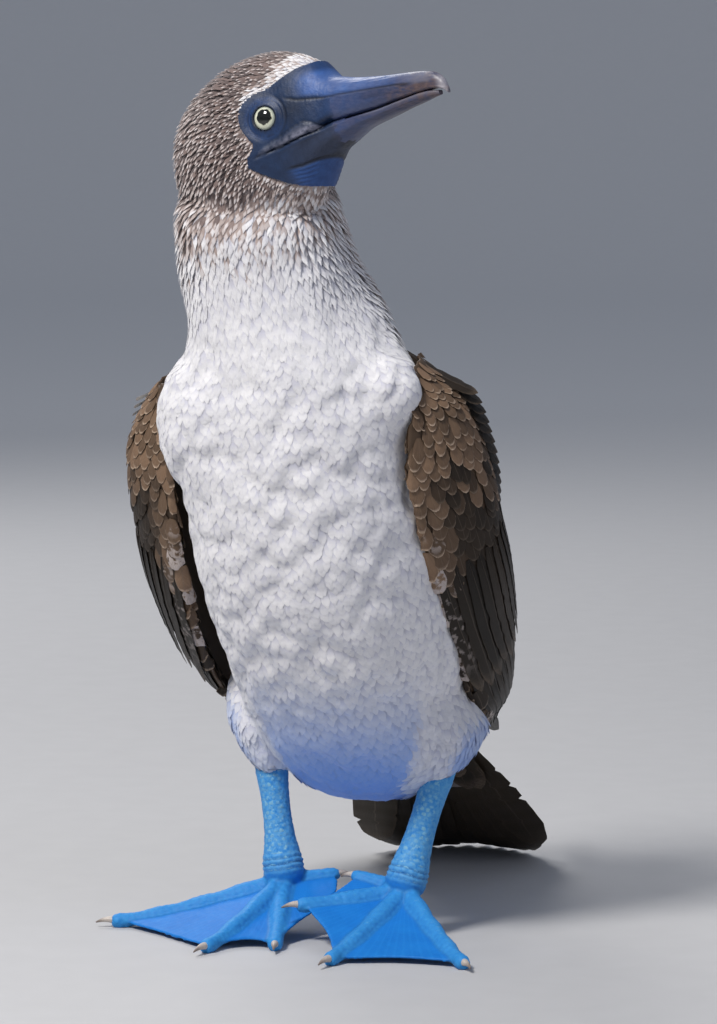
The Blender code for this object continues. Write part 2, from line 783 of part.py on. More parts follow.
def paint(body, colour):
    shade, rough = COLOURS[colour]
    material = bpy.data.materials.get(colour)
    if material is None:
        material = bpy.data.materials.new(colour)
        material.use_nodes = True
        surface = material.node_tree.nodes["Principled BSDF"]
        surface.inputs["Base Color"].default_value = (*shade, 1)
        surface.inputs["Roughness"].default_value = rough
        surface.inputs["Metallic"].default_value = 0.0
        material.diffuse_color = (*shade, 1)
    body.data.materials.clear()
    body.data.materials.append(material)
    return body


def shift_to_floor(nodes):
    """Moves every node alike, so that the box stands on z = 0 about the z axis."""
    corners = np.concatenate([
        np.array([tuple(vert.co) for vert in node.data.vertices]) for node in nodes
    ])
    low, high = corners.min(axis=0), corners.max(axis=0)
    move = -np.array(((low[0] + high[0]) / 2, (low[1] + high[1]) / 2, low[2]))
    for node in nodes:
        for vert in node.data.vertices:
            vert.co = tuple(np.array(tuple(vert.co)) + move)


def main():
    clear_scene()
    nodes = []
    torso_end = NECK_FROM - GAP / spine_step(NECK_FROM)
    torso = body_part("torso", 0.0, torso_end, BODY_RINGS)
    neck = body_part("neck", NECK_FROM, HEAD_FROM, NECK_RINGS)
    head, eyes = make_head()
    upper = loft("bill_upper", head_rings(BILL_UPPER, 14, 14, 0.9))
    lower = loft("bill_lower", head_rings(BILL_LOWER, 12, 14, 0.9))
    for side, word in ((1, "left"), (-1, "right")):
        thigh = make_thigh(side)
        thigh.name = "thigh_" + word
        boolean(torso, [make_thigh(side, GAP), leg_tube(side, "hollow", GAP)], "DIFFERENCE")
        nodes.append(paint(thigh, "plumage_white"))
        nodes.append(paint(make_leg(side, "leg_" + word), "foot_blue"))
        nodes.append(paint(make_foot(side, "foot_" + word), "foot_blue"))
        for which, toe in enumerate(("hallux", "inner", "middle", "outer")):
            nodes.append(paint(make_claw(side, which, "claw_" + toe + "_" + word), "claw_horn"))
        wing = make_wing(side, "wing_" + word)
        flank = body_part("flank", 0.0, torso_end, BODY_RINGS, GAP)
        nape = body_part("nape", NECK_FROM, HEAD_FROM, NECK_RINGS, GAP)
        boolean(wing, [flank, nape, make_thigh(side, GAP)], "DIFFERENCE")
        nodes.append(paint(wing, "wing_brown"))
    tail = make_tail()
    boolean(tail, [body_part("rump", 0.0, 3.0, 8, GAP)], "DIFFERENCE")
    level(tail)
    nodes.append(paint(tail, "tail_brown"))
    nodes += [paint(torso, "plumage_white"), paint(neck, "plumage_white"), paint(head, "plumage_brown")]
    nodes += [paint(upper, "bill_slate"), paint(lower, "bill_slate")]
    nodes += [paint(eye, "eye_pale") for eye in eyes]
    shift_to_floor(nodes)


main()
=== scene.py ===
# The finish of a life-size blue footed booby: skin, feathers, face, bill, eyes, legs and feet.
# Sizes are in millimetres in the working frame of the solids: x to the bird's left, y back and z up,
# with the origin under the ankles. place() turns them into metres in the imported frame.

import json
import math

import bmesh
import bpy
import numpy as np
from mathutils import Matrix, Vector
from mathutils.kdtree import KDTree

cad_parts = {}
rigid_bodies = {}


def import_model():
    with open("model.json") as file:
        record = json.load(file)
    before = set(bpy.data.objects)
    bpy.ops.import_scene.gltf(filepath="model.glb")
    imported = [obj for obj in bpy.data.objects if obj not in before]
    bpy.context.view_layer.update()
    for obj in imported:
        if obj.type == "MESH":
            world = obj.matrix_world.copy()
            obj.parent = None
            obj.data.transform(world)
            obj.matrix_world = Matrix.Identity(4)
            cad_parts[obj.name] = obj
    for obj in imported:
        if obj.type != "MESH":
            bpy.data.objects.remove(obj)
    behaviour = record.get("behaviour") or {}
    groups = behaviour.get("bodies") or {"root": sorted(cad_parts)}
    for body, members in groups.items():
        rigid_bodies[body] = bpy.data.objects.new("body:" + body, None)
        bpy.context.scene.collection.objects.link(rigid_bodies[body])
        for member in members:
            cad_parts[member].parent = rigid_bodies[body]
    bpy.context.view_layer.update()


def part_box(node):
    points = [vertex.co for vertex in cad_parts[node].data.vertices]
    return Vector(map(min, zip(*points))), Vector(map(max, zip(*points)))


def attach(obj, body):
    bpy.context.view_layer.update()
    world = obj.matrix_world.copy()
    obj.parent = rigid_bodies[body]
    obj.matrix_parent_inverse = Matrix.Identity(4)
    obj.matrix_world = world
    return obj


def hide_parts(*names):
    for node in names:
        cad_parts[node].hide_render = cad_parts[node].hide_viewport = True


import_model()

MM = 0.001
GROUND = -12.0
SHARP_EDGE = math.radians(70)

# Body stations from the root of the tail up to the head, as in the solids. Each holds the forward
# distance and the height of the underside, then of the back, the half width and the sideways place.
BODY = np.array([
    (-97, 84, -106, 116, 24, 6),
    (-62, 72, -92, 138, 44, 7),
    (-30, 61, -78, 166, 58, 9),
    (0, 59, -63, 194, 68, 11),
    (28, 77, -48, 220, 73, 10),
    (54, 108, -34, 243, 75, 7),
    (78, 143, -18, 264, 75, 2),
    (95, 182, -3, 284, 74, -3),
    (105, 222, 10, 304, 71, -7),
    (109, 260, 20, 325, 65, -8),
    (109, 296, 27, 347, 57, -10),
    (108, 326, 31, 368, 48.5, -20.5),
    (109, 350, 34, 388, 44, -27),
    (111, 371, 36, 407, 41.5, -31),
    (101, 388, 44, 420, 33, -31),
], float)
BODY_TOP = 14.0

# The head's own axes run along the bill, to the bird's right and up through the crown.
HEAD_AT = (-6.5, 88.0, 432.0)
HEAD_TURN = math.radians(60)
HEAD_RAISE = math.radians(14)
HEAD = np.array([
    (-73, -4, -28, 10),
    (-66, 16, -45, 26),
    (-51, 28, -57, 33),
    (-29, 35.5, -60, 35),
    (-9, 38, -53, 27.5),
    (4, 36, -46, 21.5),
    (14, 32, -43, 19.5),
    (24, 26.5, -38.5, 16.5),
    (32, 21, -31.5, 14),
    (37.6, 16, -24.5, 12),
], float)
HEAD_SQUARE = 0.92
BILL_UPPER = np.array([
    (38, 13, -9.7, 11.5),
    (50, 9.5, -9.9, 9.6),
    (65, 6.3, -10, 7.6),
    (80, 3.8, -9.4, 6),
    (93, 1.6, -9.2, 4.7),
    (102, -1.0, -9.6, 3.6),
    (107, -5.0, -11.4, 2.3),
    (109.6, -10.4, -13.6, 0.9),
], float)
BILL_LOWER = np.array([
    (38, -10.3, -21.0, 10.4),
    (50, -10.5, -17.6, 8.6),
    (65, -10.6, -16.2, 6.8),
    (80, -9.8, -15.0, 5),
    (92, -9.4, -14.2, 3.8),
    (99, -9.8, -13.6, 2.7),
    (104, -10.9, -13.4, 1.4),
], float)
BILL_SQUARE = 0.9
BILL_MEET_SQUARE = 0.44
# How far forward the bill's own halves begin, hidden under the face.
BILL_ROOT = 36.0
EYE_RADIUS = 7.8
EYE_OUT = 18.4

# Wing stations from the bend of the wing to its tip. Each holds the lower edge, the middle of the
# outer face and the upper edge, as distance out, forward and up, then the thickness.
WING = np.array([
    (62, 76, 296, 74, 56, 302, 60, 36, 306, 7),
    (66, 82, 255, 97, 42, 262, 50, 0, 289, 15),
    (71, 64, 205, 104, 14, 216, 40, -36, 256, 17),
    (74, 32, 158, 98, -24, 174, 31, -74, 213, 14),
    (69, -18, 110, 84, -70, 130, 23, -112, 170, 10),
    (55, -88, 90, 58, -124, 105, 20, -152, 132, 6),
    (40, -165, 77, 38, -184, 85, 20, -200, 98, 3.2),
    (30, -238, 66, 28, -241, 69, 25, -244, 71, 1.2),
], float)
# How far out each wing stands by station, then how far forward and up its bend does. 1 is the left
# wing and -1 the right one.
WING_OUT_AT = (0.0, 0.5, 1.0, 2.0, 3.0, 4.0, 5.0, 6.5)
WING_OUT = {1: (-10, -1, -6, -14, -16, -12, -6, 0), -1: (13, 14, 14, 11.5, 14.5, 13, 7, 0)}
WING_FORWARD = {1: 8.0, -1: -8.0}
WING_RISE = {1: 5.5, -1: -6.0}
# How far the left wing's lower edge laps in over the flank, and how much closer to the body than the
# solid's its whole bend lies, by station.
WING_LAP = (
    (0.0, 0.4, 0.75, 1.05, 1.3, 1.6, 3.0, 3.6, 4.2),
    (0.0, 3.0, 7.5, 10.0, 11.0, 8.5, 7.5, 3.0, 0.0),
)
WING_PRESS = ((0.0, 0.3, 1.0, 1.6), (4.0, 3.5, 2.5, 0.0))
WING_MIDDLE = (-6.0, 5.0)
WING_CORE_END = 5.4
WING_SKIN_DEPTH = 2.6

# The tail's root, its length, its slope, how far it turns to the left, and where it bends level.
TAIL_AT = np.array((7.0, -104.0, 97.2))
TAIL_LONG = 200.0
TAIL_DROP = math.radians(38.4)
TAIL_TURN = 0.05
TAIL_LEVEL = math.radians(6)
TAIL_BEND_FROM = 0.72
# Its pairs of feathers: how far they fan out, how far apart they root, their width, the step down from
# one to the next, and how far along the tail each pair reaches.
TAIL_PAIRS = 6
TAIL_FAN = math.radians(17)
TAIL_ROOTS = 15.0
TAIL_WIDE = 29.0
TAIL_STEP = 1.35
TAIL_SHARES = (1.0, 0.98, 0.95, 0.91, 0.86, 0.79)
TAIL_COVERTS = 34
# The flesh that the tail grows from: the share along it, the half width and the half depth.
TAIL_STUMP = ((0.0, 19, 7.5), (0.10, 20, 7), (0.2, 21, 6), (0.34, 22, 4), (0.46, 21, 2))

# The top of each leg, its ankle and the tips of its toes: out, forward and up.
LEGS = {
    1: dict(top=(50.5, 0.0, 74.0), ankle=(36.0, 14.0, 17.0)),
    -1: dict(top=(-45.0, -8.0, 73.0), ankle=(-36.0, 0.0, 17.0)),
}
LEG_RADII = (9.2, 8.0, 7.9, 8.8, 11.2)
ANKLE_UP = 7.0
# The radii of the ankle's rings, from the shin down into the foot.
ANKLE_RADII = (10.6, 11.2, 11.4, 10.4, 5.5)
TOES = {
    1: ((8.0, 9.0, 19.0), (-14.0, 44.0, 8.5), (15.5, 98.0, -8.6), (85.0, 91.0, -8.6)),
    -1: ((-10.0, -10.0, 16.0), (-23.0, 68.0, -8.6), (-57.0, 82.0, -8.6), (-124.0, 27.0, -8.6)),
}
TOE_NAMES = ("hallux", "inner", "middle", "outer")
# A toe's radius at the ankle and at the claw, and what its knuckles add.
TOE_ROUND = (6.4, 4.2)
KNUCKLE = 0.40
CLAW_LONG = (9.0, 11.0, 13.0, 11.0)
CLAW_ROUND = 2.5
WEB_THICK = 1.5
WEB_SCALLOP = 0.13
WORDS = {1: "left", -1: "right"}

# The depth of the coat along the body, by station, and on the head.
COAT_AT = (0, 8, 11, 13, 14)
COAT_DEEP = (2.2, 2.2, 1.8, 1.0, 0.8)
HEAD_COAT = (0.2, 1.5)
# The step of the remesh that fuses each skin.
SKIN_VOXEL = 2.0
WING_VOXEL = 2.3
TAIL_VOXEL = 2.0
FOOT_VOXEL = 0.85
# The puffs of the breast: how far apart they lie from low to high, how far their tips and their
# middles stand out, and how often they are evened.
QUILT_AT = (100, 240, 300, 350)
QUILT_GAPS = (10.5, 10.5, 9.5, 8.0)
QUILT_LIFT = 3.2
QUILT_PUFF = 1.6
QUILT_EVEN = 4
# Where the breast swells over the bend of each wing: out, forward and up, then its half sizes.
SHOULDERS = {-1: (-56, 70, 272, 30.5, 33, 42), 1: (48, 79, 291, 14, 20, 19)}
SHOULDER_EVEN = 70
# How far the left flank is pressed in under its wing, from low to high.
FLANK_AT = (80, 90, 102, 110, 119, 135, 170, 215, 245, 275, 300)
FLANK_IN = (0.0, 3.0, 9.0, 15.0, 18.0, 13.0, 9.5, 8.5, 9.5, 6.0, 0.0)
# How far the neck fills out above the right wing and draws in above the left one, from low to high.
NECK_AT = (290, 303, 312, 331, 345, 366, 384, 394)
NECK_OUT = (0.0, 0.0, 1.5, 4.0, 4.0, 1.8, 0.0, 0.0)
NECK_IN = (0.0, 3.0, 6.0, 7.0, 5.4, 5.6, 1.5, 0.0)
# Each thigh from its top to the hip: the share along it, then the half width and depth. The left one
# grows slimmer towards the flank.
THIGH_ROWS = np.array([
    (0.0, 11.5, 12.5),
    (0.12, 17, 19),
    (0.3, 23, 27),
    (0.52, 27, 33),
    (0.75, 26, 32),
    (0.9, 19, 24),
    (0.98, 9, 11),
])
THIGH_SLIM = {1: ((0.3, 0.42, 0.52, 0.64), (0.94, 0.88, 0.56, 0.32)), -1: ((0, 1), (0.86, 0.86))}
THIGH_LONG = 62
THIGH_COAT = 2.2
# The heights that part the pieces of the coat.
THIGH_TOP = 112
BELLY_TOP = 190
NECK_FOOT = 305
NAPE_FOOT = 362
FACE_FOOT = 372
HEAD_FOOT = 396
# The size of one feather's patch on the unwrap, and the margin left around them all.
BAKE_PATCH = 0.003
BAKE_EDGE = 0.004

# The edge of the bare face, seen from the side, in the head's axes. Then the lines across it.
BARE = [
    (-10.2, 3.5), (-9.6, 7.5), (-7, 10.4), (-3.2, 12.2), (4.5, 13.5), (9.3, 16), (14.4, 18),
    (19.7, 20.2), (25.3, 21.2), (29, 22.8), (31, 40), (60, 40), (60, -60), (26, -60), (23, -40),
    (18.7, -38), (11.4, -36.5), (4.2, -33.3), (-1.7, -29.1), (-6.3, -25.6), (-10.2, -22.3),
    (-9.2, -18.7), (-6.4, -15.4), (-4.6, -12.8), (-4.8, -11), (-6.5, -8.7), (-8.5, -4.6), (-10, -1),
]
MOUTH = [
    (43, -9.9), (38, -10.0), (30.4, -12.0), (18.1, -14.5), (7.7, -16.4), (0, -17.2), (-6.1, -18.6),
    (-9, -19.6),
]
LIP = [
    (-6, -18.4), (0, -17), (7.7, -16.1), (18.1, -14.2), (30.6, -11.8), (26.5, -8.4), (22.7, -7),
    (15, -8.8), (8, -11.2), (0, -13.8), (-5, -16.4),
]
JAW_FOLD = [(48, -19.8), (36.8, -21.3), (26.2, -25.6), (14.1, -28.3), (4.5, -28.3)]
RIDGE_LINE = [(9.3, 10.2), (14, 7.6), (20.6, 5.1), (33.6, 3.0), (47.4, 1.8), (77.6, -1.7), (100, -6.0)]
GAZE_TURN = 0.30
LID_OPEN = 6.35


def world(point):
    """Out, forward and up in millimetres as x, y and z."""
    point = np.asarray(point, float)
    return np.stack([point[..., 0], -point[..., 1], point[..., 2]], -1)


def unit(vectors):
    vectors = np.asarray(vectors, float)
    return vectors / np.maximum(np.linalg.norm(vectors, axis=-1, keepdims=True), 1e-9)


def across_to(vectors, normals):
    """Vectors less the part of each that points along its normal."""
    return vectors - normals * np.sum(vectors * normals, axis=-1, keepdims=True)


def circle(count):
    """Angles evenly about a circle."""
    return np.linspace(0, 2 * math.pi, count, endpoint=False)


def squared(values, power):
    """The cosines or sines of a circle drawn out squarer, for powers under 1."""
    return np.sign(values) * abs(values) ** power


def head_axes():
    forward = np.array((
        math.cos(HEAD_RAISE) * math.sin(HEAD_TURN),
        -math.cos(HEAD_RAISE) * math.cos(HEAD_TURN),
        math.sin(HEAD_RAISE),
    ))
    right = np.array((-math.cos(HEAD_TURN), -math.sin(HEAD_TURN), 0.0))
    return forward, right, np.cross(right, forward)


HEAD_FORWARD, HEAD_RIGHT, HEAD_UP = head_axes()
HEAD_ORIGIN = world(HEAD_AT)


def head_point(f, r, u):
    f, r, u = (np.asarray(value, float)[..., None] for value in (f, r, u))
    return HEAD_ORIGIN + HEAD_FORWARD * f + HEAD_RIGHT * r + HEAD_UP * u


def gaze_axes(side):
    """The way that an eye looks, turned a little towards the bill, and the way across it."""
    out = HEAD_RIGHT * side
    look = out * math.cos(GAZE_TURN) + HEAD_FORWARD * math.sin(GAZE_TURN)
    return look, HEAD_FORWARD * math.cos(GAZE_TURN) - out * math.sin(GAZE_TURN)


def head_places(points):
    """Points as distances along the bill, to the right and up the crown."""
    away = points - HEAD_ORIGIN
    return away @ HEAD_FORWARD, away @ HEAD_RIGHT, away @ HEAD_UP


eye_low, eye_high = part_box("eye_right")
SHIFT = (np.array(eye_low) + np.array(eye_high)) / 2 - head_point(0, EYE_OUT, 0) * MM


def place(points):
    """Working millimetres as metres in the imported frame."""
    return np.asarray(points, float) * MM + SHIFT


def unplace(points):
    return (np.asarray(points, float) - SHIFT) / MM


def along(rows, t):
    """Rows read at fractional places, on a smooth curve through all of them."""
    t = np.clip(np.asarray(t, float), 0, len(rows) - 1)
    i = np.minimum(t.astype(int), len(rows) - 2)
    f = (t - i)[..., None]
    more = np.concatenate([[2 * rows[0] - rows[1]], rows, [2 * rows[-1] - rows[-2]]])
    before, here, there, after = (more[i + k] for k in range(4))
    return here + 0.5 * f * (
        there - before + f * (
            2 * before - 5 * here + 4 * there - after + f * (3 * (here - there) + after - before)
        )
    )


def step(values, low, high):
    """A smooth rise from 0 at low to 1 at high."""
    x = np.clip((np.asarray(values, float) - low) / (high - low), 0, 1)
    return x * x * (3 - 2 * x)


def hump(values, middle, half):
    return np.exp(-((np.asarray(values, float) - middle) / half) ** 2)


def wobble(points, size, seed, waves=10):
    """Smooth seeded noise, mostly between -1 and 1, its bumps about the given size."""
    draw = np.random.default_rng(seed)
    total = 0.0
    for _ in range(waves):
        way = unit(draw.normal(size=3)) * 2 * math.pi / (size * draw.uniform(0.8, 1.9))
        total = total + np.sin(points.reshape(-1, 3) @ way + draw.uniform(0, 2 * math.pi))
    return (total / math.sqrt(waves)).reshape(points.shape[:-1])


def to_line(f, u, line):
    """The signed distance from each place to a line of points, positive above it."""
    best = np.full(np.shape(f), 1e9)
    above = np.zeros(np.shape(f))
    for (f0, u0), (f1, u1) in zip(line, line[1:]):
        df, du = f1 - f0, u1 - u0
        s = np.clip(((f - f0) * df + (u - u0) * du) / (df * df + du * du), 0, 1)
        gap_f, gap_u = f - f0 - s * df, u - u0 - s * du
        gap = np.hypot(gap_f, gap_u)
        near = gap < best
        best = np.where(near, gap, best)
        above = np.where(near, np.sign(gap_u * abs(df) - gap_f * du * np.sign(df)), above)
    return best * above


def inside(f, u, outline):
    """How far each place lies inside a closed outline, negative outside."""
    gap = to_line(f, u, outline + outline[:1])
    crossed = np.zeros(np.shape(f), int)
    for (f0, u0), (f1, u1) in zip(outline, outline[1:] + outline[:1]):
        spans = (u0 > u) != (u1 > u)
        rise = u1 - u0 if u1 != u0 else 1e-9
        crossed += spans & (f < (f1 - f0) * (u - u0) / rise + f0)
    return np.where(crossed % 2 == 1, 1, -1) * abs(gap)


def body_surface(t, turn, grow=0.0):
    """Points of the body's surface at stations and at turns about it, 90 degrees being the back."""
    t, turn = np.broadcast_arrays(np.asarray(t, float), np.asarray(turn, float))
    row = along(BODY, t)
    under = world(np.stack([row[..., 5], row[..., 0], row[..., 1]], -1))
    back = world(np.stack([row[..., 5], row[..., 2], row[..., 3]], -1))
    up = (back - under) / 2
    grow = np.broadcast_to(grow, t.shape)[..., None]
    up = up + unit(up) * grow
    square = np.interp(t, (5, 8), (0.86, 0.94))
    c, s = squared(np.cos(turn), square), squared(np.sin(turn), square)
    side = np.zeros(t.shape + (3,))
    side[..., 0] = row[..., 4] + grow[..., 0]
    return (under + back) / 2 + c[..., None] * side + s[..., None] * up


def head_surface(q, turn):
    """The head's distances along the bill, right and up at stations and turns, 90 degrees its top."""
    q, turn = np.broadcast_arrays(q, turn)
    row = along(HEAD, q)
    top, bottom = row[..., 1], row[..., 2]
    high = squared(np.sin(turn), HEAD_SQUARE) * ((top - bottom) / 2)
    return row[..., 0], squared(np.cos(turn), HEAD_SQUARE) * row[..., 3], (top + bottom) / 2 + high


def bill_rows(rows, start):
    """A bill half's stations, led back under the face, read closely."""
    lead = rows[0] + (rows[0] - rows[1]) * ((rows[0][0] - start) / (rows[1][0] - rows[0][0]))
    lead[0] = start
    return along(np.vstack([lead, rows]), np.linspace(0, len(rows), 190))


def bill_ring(f, way_r, way_u, middle):
    """How far the closed bill's surface lies from a middle line, in each of the given directions."""
    best = np.zeros(np.shape(way_r))
    for rows, meeting in ((BILL_UPPER, -1), (BILL_LOWER, 1)):
        dense = bill_rows(rows, 20.0)
        top, bottom, half = (np.interp(f, dense[:, 0], dense[:, k]) for k in (1, 2, 3))
        for distance in np.linspace(2.0, 30.0, 330):
            x = abs(way_r * distance) / half
            y = (middle + way_u * distance - (top + bottom) / 2) / ((top - bottom) / 2)
            power = np.where(y * meeting > 0, 2 / BILL_MEET_SQUARE, 2 / BILL_SQUARE)
            best = np.where(x ** power + abs(y) ** power < 1, distance, best)
    return best


def drawn_in(f, way_r, way_u, middle, size):
    """The head's size each way from its middle line, drawn in to the closed bill in front."""
    size = size.copy()
    front = f[:, 0] > 8
    low = step(-way_u, 0.15, 0.85)
    share = step(f, 25 - 17 * low, 38.5 - 8 * low)[front]
    reach = bill_ring(f[front], way_r[front], way_u[front], middle[front])
    reach = reach + 0.16 - 0.6 * step(f[front], 36.5, 43.0)
    size[front] = size[front] * (1 - share) + reach * share
    return size


def band_faces(rows, columns):
    """Quads between rows of points, each row closed on itself."""
    faces = []
    for a in range(0, (rows - 1) * columns, columns):
        for j in range(columns):
            n = (j + 1) % columns
            faces.append((a + j, a + n, a + columns + n, a + columns + j))
    return faces


def shown(name, data):
    """A new object in the scene."""
    body = bpy.data.objects.new(name, data)
    bpy.context.scene.collection.objects.link(body)
    return body


class Pile:
    """Meshes gathered into one object, each point with named values."""

    def __init__(self):
        self.points = []
        self.faces = []
        self.values = {}
        self.count = 0

    def add(self, points, faces, **values):
        points = np.asarray(points, float).reshape(-1, 3)
        self.faces += [tuple(self.count + v for v in face) for face in faces]
        self.points.append(points)
        for name, value in values.items():
            self.values.setdefault(name, []).append(np.broadcast_to(value, (len(points),)))
        self.count += len(points)

    def loft(self, rings, **values):
        """A closed loft: bands between its rings, and one polygon at each end."""
        count, sides = rings.shape[:2]
        faces = band_faces(count, sides)
        faces.append(tuple(range(sides))[::-1])
        faces.append(tuple(range((count - 1) * sides, count * sides)))
        self.add(rings, faces, **values)

    def made(self, name, outwards=True):
        points = np.concatenate(self.points)
        mesh = bpy.data.meshes.new(name)
        mesh.from_pydata(place(points).tolist(), [], self.faces)
        for key, parts in self.values.items():
            store(mesh, key, np.concatenate(parts))
        if outwards:
            turn_outwards(mesh)
        return shown(name, mesh)


def lofted(name, rings, **values):
    """One closed loft as an object."""
    pile = Pile()
    pile.loft(rings, **values)
    return pile.made(name)


def store(mesh, name, values, kind="FLOAT"):
    """Keeps one value for each point of a mesh under a name."""
    layer = mesh.attributes.get(name) or mesh.attributes.new(name, kind, "POINT")
    values = np.asarray(values, np.int32 if kind == "INT" else np.float32)
    layer.data.foreach_set("vector" if kind == "FLOAT_VECTOR" else "value", values.ravel())


def turn_outwards(mesh):
    form = bmesh.new()
    form.from_mesh(mesh)
    bmesh.ops.recalc_face_normals(form, faces=form.faces)
    if form.calc_volume(signed=True) < 0:
        bmesh.ops.reverse_faces(form, faces=form.faces)
    form.to_mesh(mesh)
    form.free()


def shade(mesh):
    """Smooth shading, but for sharply bent edges."""
    mesh.shade_smooth()
    mesh.set_sharp_from_angle(angle=SHARP_EDGE)


def read(items, key, width=1, kind=np.float32):
    """A row of values from each of a mesh's points, edges, triangles or corners."""
    values = np.empty(len(items) * width, kind)
    items.foreach_get(key, values)
    return values.reshape(-1, width)


def read_points(mesh):
    """A mesh's points in working millimetres."""
    return unplace(read(mesh.vertices, "co", 3).astype(float))


def read_normals(mesh):
    return read(mesh.vertex_normals, "vector", 3).astype(float)


def write_points(mesh, points):
    mesh.vertices.foreach_set("co", place(points).astype(np.float32).ravel())
    mesh.update()


def tree_of(points):
    tree = KDTree(len(points))
    for k, point in enumerate(points):
        tree.insert(Vector(point), k)
    tree.balance()
    return tree


def nearest(tree, points):
    """Which of a tree's own points lies nearest to each point."""
    return np.array([tree.find(Vector(point))[1] for point in points])


def settle(body):
    """Turns the object's modifiers into its mesh."""
    graph = bpy.context.evaluated_depsgraph_get()
    mesh = bpy.data.meshes.new_from_object(body.evaluated_get(graph))
    body.modifiers.clear()
    old = body.data
    body.data = mesh
    bpy.data.meshes.remove(old)
    mesh.name = body.name


def fused(body, voxel, smoothing):
    """Overlapping closed shapes turned into one even skin, its steps smoothed away."""
    remesh = body.modifiers.new("fuse", "REMESH")
    remesh.mode = "VOXEL"
    remesh.voxel_size = voxel * MM
    soften = body.modifiers.new("soften", "SMOOTH")
    soften.factor = 0.5
    soften.iterations = smoothing
    settle(body)
    body.data.shade_smooth()
    return body


class Graph:
    """Adds nodes to one tree. The sockets that it hands back can be used in Python sums."""

    def __init__(self, tree):
        self.tree = tree

    def add(self, kind, inputs=None, **settings):
        node = self.tree.nodes.new(kind)
        for name, value in settings.items():
            setattr(node, name, value)
        for name, value in (inputs or {}).items():
            self.feed(node.inputs[name], value)
        return node

    def feed(self, socket, value):
        if isinstance(value, Value):
            value = value.socket
        if isinstance(value, bpy.types.NodeSocket):
            self.tree.links.new(value, socket)
        else:
            socket.default_value = value

    def out(self, kind, inputs=None, output=0, **settings):
        return Value(self, self.add(kind, inputs, **settings).outputs[output])

    def mix(self, share, first, second):
        """A colour between two others."""
        inputs = {0: share}
        for slot, colour in ((6, first), (7, second)):
            inputs[slot] = (*colour, 1.0) if isinstance(colour, tuple) else colour
        return self.out("ShaderNodeMix", inputs, 2, data_type="RGBA")

    def step(self, value, low, high):
        """A smooth rise from 0 at low to 1 at high."""
        return self.out("ShaderNodeMapRange", {0: value, 1: low, 2: high, 3: 0.0, 4: 1.0},
                        interpolation_type="SMOOTHSTEP")

    def noise(self, where, scale, detail=2.0, rough=0.5):
        return self.out("ShaderNodeTexNoise", {"Vector": where, "Scale": scale, "Detail": detail,
                                               "Roughness": rough})

    def vector(self, operation, first, second):
        return self.out("ShaderNodeVectorMath", {0: first, 1: second}, operation=operation)

    def scaled(self, vector, scale):
        return self.out("ShaderNodeVectorMath", {0: vector, 3: scale}, operation="SCALE")


class Value:
    """One socket, with the usual signs for sums."""

    def __init__(self, graph, socket):
        self.graph = graph
        self.socket = socket

    def math(self, operation, *others, swap=False):
        terms = [self, *others]
        if swap:
            terms.reverse()
        return self.graph.out("ShaderNodeMath", dict(enumerate(terms)), operation=operation)

    def __add__(self, other):
        return self.math("ADD", other)

    __radd__ = __add__

    def __sub__(self, other):
        return self.math("SUBTRACT", other)

    def __rsub__(self, other):
        return self.math("SUBTRACT", other, swap=True)

    def __mul__(self, other):
        return self.math("MULTIPLY", other)

    __rmul__ = __mul__

    def __truediv__(self, other):
        return self.math("DIVIDE", other)

    def __pow__(self, other):
        return self.math("POWER", other)

    def __abs__(self):
        return self.math("ABSOLUTE")

    def sine(self):
        return self.math("SINE")

    def highest(self, other):
        return self.math("MAXIMUM", other)


class Finish:
    """One material, with the readings that its finish is worked out from."""

    def __init__(self, name, **constants):
        self.material = bpy.data.materials.new(name)
        self.material.use_nodes = True
        self.graph = Graph(self.material.node_tree)
        self.surface = self.material.node_tree.nodes["Principled BSDF"]
        for socket, value in constants.items():
            self.surface.inputs[socket.replace("_", " ")].default_value = value

    def where(self):
        return self.graph.out("ShaderNodeTexCoord", output="Object")

    def reading(self, name):
        return self.graph.out("ShaderNodeAttribute", output="Fac", attribute_type="GEOMETRY",
                              attribute_name=name)

    def readings(self, *names):
        return [self.reading(name) for name in names]

    def done(self, colour, rough, height=None, strength=0.3, deep=0.001, coat=None):
        self.graph.feed(self.surface.inputs["Base Color"], colour)
        self.graph.feed(self.surface.inputs["Roughness"], rough)
        if coat is not None:
            self.graph.feed(self.surface.inputs["Coat Weight"], coat)
        if height is not None:
            bump = self.graph.out("ShaderNodeBump", {"Strength": strength, "Distance": deep,
                                                     "Height": height})
            self.graph.feed(self.surface.inputs["Normal"], bump)
        return self.material


def barbs(finish, slant=0.9):
    """The fine uneven streaks of a feather's barbs, slanting out from its shaft."""
    g = finish.graph
    length, width, tone = finish.readings("along", "across", "tone")
    over = (length - abs(width) * slant) * 22.0
    spot = g.out("ShaderNodeCombineXYZ", {0: over, 1: width * 1.6, 2: tone * 40.0 + length * 1.2})
    return g.noise(spot, 1.0, 2.0, 0.6)


